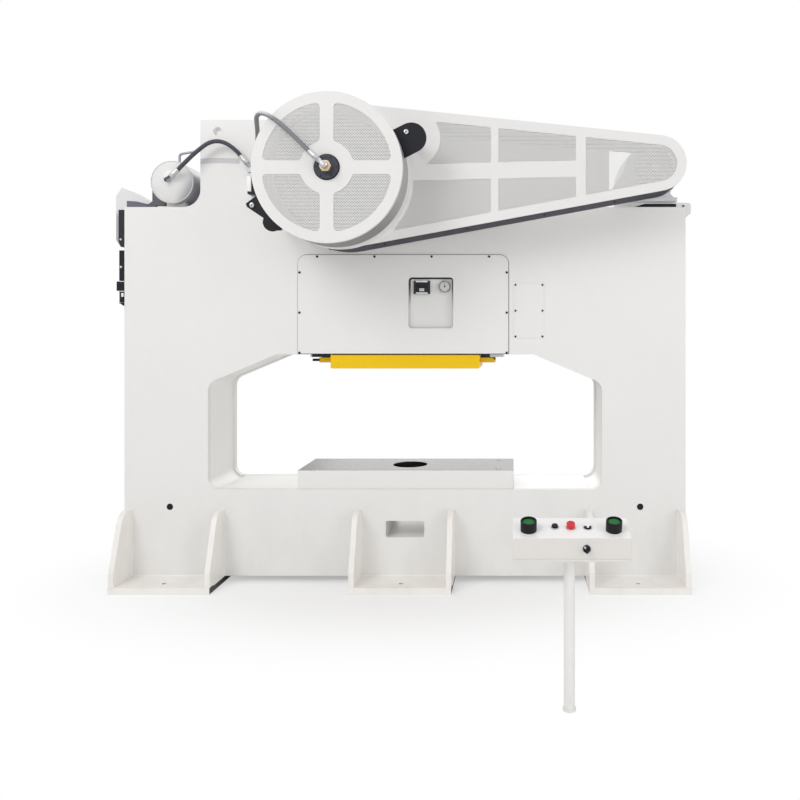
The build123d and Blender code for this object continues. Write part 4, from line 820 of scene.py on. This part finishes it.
# Painted shade in the die hole of the bolster: a thin black tube lining its wall
low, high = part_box("bolster")
facts = (dieHoleShade["inner"], dieHoleShade["outer"], low.z, high.z - dieHoleShade["drop"])
dress("die_hole_painted_shade", tubePiece(facts, (0, 0, 0), upward, 64), "black_plastic")
print("stage: cover trim")


# Rotary union: brass nut, turned body and elbow; dark cap and bolts on the turning nose of the clutch

union = {
    "nose": -0.842, "bodyOut": 0.03,
    "nut": [(0.012, -0.008), (0.024, -0.008), (0.024, 0.0005), (0.0305, 0.003, "hex"), (0.0305, 0.018, "hex"),
            (0.027, 0.021), (0.018, 0.022), (0.0165, 0.024), (0.0165, 0.031), (0, 0.031)],
    "body": [(0.012, 0), (0.0185, 0.001), (0.019, 0.003), (0.019, 0.021), (0.0185, 0.0245), (0.0155, 0.027),
             (0.011, 0.0285), (0.011, 0.033, "hex"), (0.01, 0.0345, "hex"), (0, 0.0345)],
    "neck": [(0.0115, 0), (0.0115, 0.024), (0.0145, 0.026, "hex"), (0.0145, 0.038, "hex"), (0.012, 0.0395),
             (0, 0.0395)],
}
noseCap = {
    "front": -0.838, "bolts": 6, "boltCircle": 0.052, "boltFront": -0.841, "bolt": (0.0045, 0.0025),
    "section": [(0.03, 0.0004), (0.0615, 0.0004), (0.0615, 0.0018), (0.0598, 0.0034), (0.044, 0.0034),
                (0.0425, 0.0022), (0.03, 0.0022)],
}
unionX, unionZ = drumAxis.x, drumAxis.z
hoseStart, hoseNext = [Vector(point) for point in hoses["clutch_hose"]["points"][:2]]
nut = turnedPiece(union["nut"], (unionX, union["nose"], unionZ), outward, 48)
dress("union_nut", nut, "brass", standsFor="rotary_union")
parts = [turnedPiece(union["body"], (unionX, union["nose"] - union["bodyOut"], unionZ), outward, 48),
         turnedPiece(union["neck"], (unionX, hoseStart.y, unionZ), (hoseNext - hoseStart).normalized())]
dress("union_elbow", parts, "gauge_metal", standsFor="rotary_union")
cap = turnedRing(noseCap["section"], (unionX, noseCap["front"], unionZ), outward, 64)
dress("clutch_nose_cap", cap, "navy", body="flywheel")
parts = [panScrew((unionX + x, noseCap["boltFront"], unionZ + z), outward, *noseCap["bolt"])
         for x, z in ring(noseCap["boltCircle"], noseCap["bolts"])]
dress("clutch_nose_bolts", parts, "screw", body="flywheel")
print("stage: rotary union and nose cap")


# Gauge: dial, marks and glass

gauge = {"dialDepth": 0.0064, "lensDepth": 0.0012, "steps": 10, "turn": 13.5, "outer": 0.0275,
         "longEach": 5, "long": (0.006, 0.0011), "short": (0.0035, 0.0006),
         "dial": (0.003, 0.0293, 0, 0.0004),
         "lens": [(0, 0), (0.0296, 0), (0.0296, 0.0008), (0.02, 0.0012), (0, 0.0014)]}
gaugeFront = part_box("gauge_case")[0].y
gaugeFace = gaugeFront + gauge["dialDepth"]
middle = middleOf("gauge_case")
dial = tubePiece(gauge["dial"], (middle.x, gaugeFace, middle.z), outward, 48)
dress("gauge_dial", dial, "dial")
marks = []
for step in range(-gauge["steps"], gauge["steps"] + 1):
    angle = math.radians(step * gauge["turn"])
    long, wide = gauge["short"] if step % gauge["longEach"] else gauge["long"]
    mark = slabPiece((-wide / 2, -0.0002, gauge["outer"] - long), (wide / 2, 0.0002, gauge["outer"]), 0.00005)
    mark.matrix_world = Matrix.Translation((middle.x, gaugeFace - 0.0005, middle.z)) @ Matrix.Rotation(angle, 4, "Y")
    marks.append(mark)
dress("gauge_marks", marks, "black_plastic")
lens = turnedPiece(gauge["lens"], (middle.x, gaugeFront + gauge["lensDepth"], middle.z), outward, 48)
dress("gauge_lens", lens, "glass")


# Counter: corner screws, pale strips, black face with a bare label and a row of number drums
# Corners of each block from the middle of the counter's front

counter = {"screws": (0.0415, 0.0325), "screw": (0.0042, 0.002), "stripAt": 0.0335, "pitch": 0.01,
           "drums": (-2.5, -1.5, -0.5, 0.5, 1.5, 2.5),
           "strip": ((-0.034, -0.0006, -0.0042), (0.034, 0.012, 0.0042)),
           "face": ((-0.0335, 0.0026, -0.0245), (0.0335, 0.004, 0.0245)),
           "label": ((-0.014, 0.0018, -0.0235), (0.014, 0.003, -0.006)),
           "drum": ((-0.0042, 0.0012, -0.003), (0.0042, 0.0028, 0.011))}
middle = middleOf("counter_window")
middle.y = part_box("counter_window")[0].y
reachX, reachZ = counter["screws"]
parts = [panScrew(middle + Vector((x, 0, z)), outward, *counter["screw"])
         for x in (-reachX, reachX) for z in (-reachZ, reachZ)]
dress("counter_screws", parts, "screw")
parts = [slabAt(middle + Vector((0, 0, side * counter["stripAt"])), counter["strip"], 0.0004) for side in (-1, 1)]
dress("counter_strips", parts, "frame_paint")
dress("counter_face", slabAt(middle, counter["face"], 0.0004), "counter_plastic")
dress("counter_label", slabAt(middle, counter["label"], 0.0004), "motor_paint")
parts = [slabAt(middle + Vector((step * counter["pitch"], 0, 0)), counter["drum"], 0.0006)
         for step in counter["drums"]]
dress("counter_drums", parts, "black_plastic")
print("stage: gauge and counter")


# Console: black collars, bright rings, pale selector grips

console = {
    "frontTop": 0.676, "backTop": 0.717, "middle": -1.703, "deep": 0.14, "palms": [0.686, 1.012], "palmsDown": 0.015,
    "collar": [(0.03032, 0.0031), (0.0312, 0.0031), (0.0312, 0.0425), (0.0302, 0.044), (0.0266, 0.044),
               (0.02515, 0.0426), (0.02515, 0.033), (0.02527, 0.033), (0.02527, 0.04302), (0.03032, 0.04302)],
    "rings": [(0.787, 0.0127, 0.0152, 0.0078), (0.848, 0.0172, 0.0196, 0.005), (0.913, 0.0146, 0.0172, 0.005)],
    "panelFace": 0.0031, "chamfer": 0.0006, "mode": 0.913, "modeRadius": 0.0136, "key": (0.903, -1.773, 0.639),
    "keyRing": [(0.0146, 0.0001), (0.0172, 0.0001), (0.0172, 0.0024), (0.0166, 0.003), (0.0146, 0.003)],
    "keyMark": ((-0.0032, -0.0091, 0.0036), (0.0032, -0.0082, 0.0134)),
    "grip": ((-0.0038, -0.0207, -0.0133), (0.0038, -0.0082, 0.0133)),
}
panelTilt = math.atan2(console["backTop"] - console["frontTop"], console["deep"])
panelUp = Vector((0, -math.sin(panelTilt), math.cos(panelTilt)))
panelSide = Vector((0, math.cos(panelTilt), math.sin(panelTilt)))


def panelPlace(x, rise, out):
    # A point over the sloped panel: rise runs up the slope, out stands off it
    middle = Vector((x, console["middle"], (console["frontTop"] + console["backTop"]) / 2))
    return middle + panelUp * out + panelSide * rise


def panelRing(x, inner, outer, height):
    foot, chamfer = console["panelFace"], console["chamfer"]
    section = [(inner, foot), (outer, foot), (outer, height - chamfer), (outer - chamfer, height), (inner, height)]
    return turnedRing(section, panelPlace(x, 0, 0), panelUp, 40)


parts = [turnedRing(console["collar"], panelPlace(x, -console["palmsDown"], 0), panelUp, 48) for x in console["palms"]]
dress("palm_collars", parts, "black_plastic")
dress("panel_rings", [panelRing(*facts) for facts in console["rings"]], "gauge_metal")
dress("key_ring", turnedRing(console["keyRing"], console["key"], outward, 40), "gauge_metal")

# The mode selector is white on its upper half; the key selector has a pale line up to the left
half = ring(console["modeRadius"], 24)[:13]
mark = joined([platePiece(half, -0.009, -0.0082, 0.0002), slabPiece(*console["grip"], 0.0004)])
turn = Matrix((Vector(rightward), -panelUp, panelSide)).transposed().to_4x4()
mark.matrix_world = Matrix.Translation(panelPlace(console["mode"], 0, 0.003)) @ turn
dress("mode_mark", mark, "console_panel", body="mode_selector")
mark = slabPiece(*console["keyMark"], 0.0002)
mark.matrix_world = Matrix.Translation(console["key"]) @ Matrix.Rotation(math.radians(-45), 4, "Y")
dress("key_mark", mark, "console_panel", body="key_selector")

# A dark socket takes the pole under the case
poleSocket = {"under": 0.0162, "section": [(0.02155, 0), (0.0222, 0.0005), (0.0226, 0.002), (0.0226, 0.014),
                                           (0.0222, 0.0155), (0.02155, 0.0158)]}
middle = middleOf("console_pole")
place = (middle.x, middle.y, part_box("console_case")[0].z - poleSocket["under"])
dress("pole_socket", turnedRing(poleSocket["section"], place, upward, 48), "umber")
print("stage: console")


# Welds where the gussets and foot plates meet the frame

weldBead = {"radius": 0.005, "low": 0.86, "pitch": 0.006, "toe": 0.05, "top": 0.02, "end": 0.01}


def weld(first, last):
    # A low rippled bead along a straight run
    first, run = Vector(first), Vector(last) - Vector(first)
    steps = max(2, round(run.length / weldBead["pitch"]))
    rings = []
    for step in range(steps + 1):
        radius = weldBead["radius"] * (1.0 if step % 2 else weldBead["low"])
        place = aimed(first + run * (step / steps), run)
        rings.append([place @ Vector((x, y, 0)) for x, y in ring(radius, 6)])
    return tidyMesh(ringPiece(rings, True), 60)


beads = []
frontFace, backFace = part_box("front_plate")[0].y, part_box("back_plate")[1].y
footTop = min(high.z for low, high in solidBoxes("foot_plates"))
for low, high in solidBoxes("foot_gussets"):
    face, toe = (frontFace, low.y + weldBead["toe"]) if high.y < 0 else (backFace, high.y - weldBead["toe"])
    for x in (low.x, high.x):
        beads.append(weld((x, toe, footTop), (x, face, footTop)))
        beads.append(weld((x, face, footTop), (x, face, high.z - weldBead["top"])))
for low, high in solidBoxes("foot_plates"):
    for y in (frontFace, backFace):
        beads.append(weld((low.x + weldBead["end"], y, footTop), (high.x - weldBead["end"], y, footTop)))
dress("foot_welds", beads, "feet")
print("stage: welds", len(beads))


# Motor: wire grille over the fan, screws of the terminal box, bolts on the feet

motor = {"wire": 0.0012, "rings": (0.012, 0.024, 0.036, 0.048, 0.059), "wireOut": 0.0015, "spoke": 0.061,
         "spokeTurns": (45, 90, 135, 180), "boxInset": 0.014, "boxScrew": (0.0055, 0.003), "footInset": 0.026,
         "footRows": (-0.205, 0.01), "footHigh": 0.022, "washer": (0.018, 0.006, 0.002), "bolt": (0.012, 0.009)}
motorLow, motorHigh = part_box("motor_frame")
grille = middleOf("motor_rotor")
grille.x, grille.y = middleOf("motor_frame").x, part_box("motor_covers")[1].y - motor["wireOut"]
wire = ring(motor["wire"], 6)
parts = [turnedRing([(radius + x, y) for x, y in wire], grille, inward, 48, 80) for radius in motor["rings"]]
for turn in motor["spokeTurns"]:
    angle = math.radians(turn)
    way = Vector((math.cos(angle), 0, math.sin(angle)))
    profile = [(0, 0), (motor["wire"], 0), (motor["wire"], 2 * motor["spoke"]), (0, 2 * motor["spoke"])]
    parts.append(turnedPiece(profile, grille - way * motor["spoke"], way, 8))
dress("fan_grille", parts, "black_plastic")

low, high = max(solidBoxes("motor_covers"), key=lambda pair: pair[1].z)
inset = motor["boxInset"]
parts = [panScrew((x, y, high.z), upward, *motor["boxScrew"])
         for x in (low.x + inset, high.x - inset) for y in (low.y + inset, high.y - inset)]
dress("terminal_screws", parts, "screw")
parts = []
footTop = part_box("motor_base")[1].z + motor["footHigh"]
for x in (motorLow.x + motor["footInset"], motorHigh.x - motor["footInset"]):
    for y in motor["footRows"]:
        parts.append(washer((x, y, footTop), upward, *motor["washer"]))
        parts.append(hexBolt((x, y, footTop + motor["washer"][2]), upward, *motor["bolt"]))
dress("motor_bolts", parts, "gauge_metal")
print("stage: motor details")


# Painted shade as dark sheets on the left trunk and its arm, bolts of the trunk, pale bands of the air filter, painted
# shade as a black slab under the motor base

trunk = {"sheet": [(-1.7497, 2.186), (-1.7497, 1.994), (-1.7355, 1.9635), (-1.622, 1.948), (-1.622, 2.186)],
         "arm": [(-1.7, 2.195), (-1.5325, 2.195), (-1.5325, 2.212), (-1.58, 2.222), (-1.64, 2.236), (-1.7, 2.24)],
         "depths": (-0.0622, -0.0601),
         "bolts": [((-1.7365, -0.0622, 2.007), 0.0062), ((-1.7465, -0.04, 1.8437), 0.007)], "boltHigh": 0.004}
filterBands = {"x": -1.743, "ring": (0.029, 0.0312, 1.6945, 1.7015),
               "neck": ((-1.756, -0.0368, 1.754), (-1.729, -0.035, 1.7585)),
               "sight": ((-1.75, -0.0306, 1.663), (-1.736, -0.028, 1.686))}
motorBaseShade = {"outline": [(1.321, 2.1763), (1.579, 2.1763), (1.579, 2.1985), (1.397, 2.1985)],
                "depths": (-0.201, -0.1985)}
# The trunk's dark sheets are painted shade, on its lower left and under its arm
dress("trunk_painted_shade_sheet", platePiece(trunk["sheet"], *trunk["depths"]), "shade")
dress("trunk_arm_painted_shade_sheet", platePiece(trunk["arm"], *trunk["depths"]), "arm")
parts = [panScrew(place, outward, radius, trunk["boltHigh"]) for place, radius in trunk["bolts"]]
dress("trunk_bolts", parts, "console_panel")
parts = [tubePiece(filterBands["ring"], (filterBands["x"], 0, 0), upward, 32)]
parts += [slabPiece(*filterBands[key], 0.0003) for key in ("neck", "sight")]
dress("filter_bands", parts, "console_panel")
# A black slab as painted shade below the front of the motor base
baseShade = platePiece(motorBaseShade["outline"], *motorBaseShade["depths"], 0.0003)
dress("motor_base_painted_shade", baseShade, "black_plastic")


# Ram: black stops on the ends of the lugs, painted shade as dark slabs under the front guides; low and high corners,
# edge

lugStops = [((-0.558, -0.15, 1.278), (-0.5195, -0.11, 1.292), 0.0015),
            ((0.512, -0.1508, 1.288), (0.5208, -0.12, 1.2992), 0.0006)]
gibShadeSlabs = [((-0.56, -0.1512, 1.3022), (-0.4485, -0.1498, 1.324), 0.0004),
            ((0.4374, -0.1512, 1.3022), (0.4906, -0.1498, 1.324), 0.0004)]
dress("lug_stops", [slabPiece(*stop) for stop in lugStops], "black_plastic", body="ram")
dress("gib_painted_shade", [slabPiece(*shadeSlab) for shadeSlab in gibShadeSlabs], "shade")
print("stage: trunk, base and ram trim")


# Air tank and valve

tank = {"beads": (-0.23, 0.166), "bead": [(-0.002, -0.0045), (0.0008, -0.0035), (0.0018, 0), (0.0008, 0.0035),
                                           (-0.002, 0.0045)], "wedgeOver": 2.25}
valve = {
    "ends": [((-0.868, -0.3012, 2.2395), (-0.8364, -0.232, 2.337)),
             ((-0.889, -0.3016, 2.239), (-0.836, -0.232, 2.2525))],
    "knob": [(0.0112, 2.3935), (0.0126, 2.395), (0.0126, 2.4165), (0.0112, 2.4186), (0, 2.4186)],
    "knobPlace": (-0.855, -0.265, 0), "plate": ((-0.8935, -0.3012, 2.2535), (-0.8685, -0.232, 2.3405)), "edge": 0.002,
}
low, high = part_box("air_tank")
tankRadius = (high.x - low.x) / 2
section = [(tankRadius + rise, run) for rise, run in tank["bead"]]
parts = [turnedPiece(section, ((low.x + high.x) / 2, y, low.z + tankRadius), inward, 72, 60) for y in tank["beads"]]
dress("tank_beads", parts, "frame_paint")
for points, faces in islands("tank_saddle"):
    wedge = extent(points)[1].z > tank["wedgeOver"]
    dress("tank_wedge" if wedge else "tank_cradle", tidyMesh(meshPiece(points, faces), 30),
          "slate" if wedge else "frame_paint", "tank_saddle")

parts = [slabPiece(*corners, valve["edge"]) for corners in valve["ends"]]
parts.append(turnedPiece(valve["knob"], valve["knobPlace"], upward))
dress("valve_ends", parts, "black_parts")
dress("valve_plate", slabPiece(*valve["plate"], valve["edge"]), "console_panel")
print("stage: tank and valve")


# Floor, light and surroundings

floorSet = {"half": 30, "under": 0.0004, "spread": (0.55, 0.9, 0), "shadeTo": 0.35, "fade": 1.0, "white": 0.4}


def softFloor():
    # Paper that keeps the shadow near the machine and turns to bare white further out
    material, start, place = newMaterial()
    grain = place.noise(60, 3.0, 0.6)
    far = start.node("VectorMath", {"operation": "LENGTH"}, {0: place.stretched(floorSet["spread"])}, 1)
    seen = start.node("LightPath")
    paper = start.node("BsdfDiffuse", None, {"Color": grain.blend((0.9, 0.9, 0.9, 1), (0.93, 0.93, 0.93, 1))})
    bare = start.node("Emission", None, {"Color": (1, 1, 1, 1), "Strength": 1.0})
    share = far.above(floorSet["shadeTo"], floorSet["fade"]) * (1 - floorSet["white"]) + floorSet["white"]
    start.node("MixShader", None, {0: seen * share, 1: paper, 2: bare}).show()
    return material


half = floorSet["half"]
corners = [(x * half, y * half, -floorSet["under"]) for x, y in ((-1, -1), (1, -1), (1, 1), (-1, 1))]
floor = meshPiece(corners, [range(4)])
floor.name = "floor"
floor.data.materials.append(softFloor())

# Place, aim, width and power of each soft lamp
lamps = {
    "key": ((-3.6, -5.4, 5.6), (-0.1, 0, 1.3), 3.2, 160),
    "fill": ((5.0, -4.6, 2.6), (0.3, 0, 1.2), 3.6, 70),
    "top": ((0.4, 0.8, 6.2), (0, 0, 1.6), 3.0, 48),
    "low": ((0.6, -6.6, 0.9), (0, 0, 0.9), 4.0, 32),
    "back": ((0, 5.2, 2.8), (0, 0, 0.7), 4.0, 60),
}
for name, (place, aim, width, power) in lamps.items():
    data = bpy.data.lights.new(name, "AREA")
    data.shape = "SQUARE"
    data.size = width
    data.energy = power
    lamp = placed(name, data)
    lamp.matrix_world = aimed(place, Vector(place) - Vector(aim))

ambient = 0.52
world = bpy.data.worlds.new("studio")
world.use_nodes = True
world.node_tree.nodes.clear()
start = Flow(world.node_tree)
seen, glossy, through = [start.node("LightPath", out=out) for out in (0, 3, 6)]
seen = start.maths("MAXIMUM", start.maths("MAXIMUM", seen, glossy), through)
sky = start.node("Background", None, {"Color": (1, 1, 1, 1), "Strength": seen * (1 - ambient) + ambient})
sky.show("OutputWorld")
scene.world = world
scene.view_settings.view_transform = "Standard"
print("stage: floor and light")
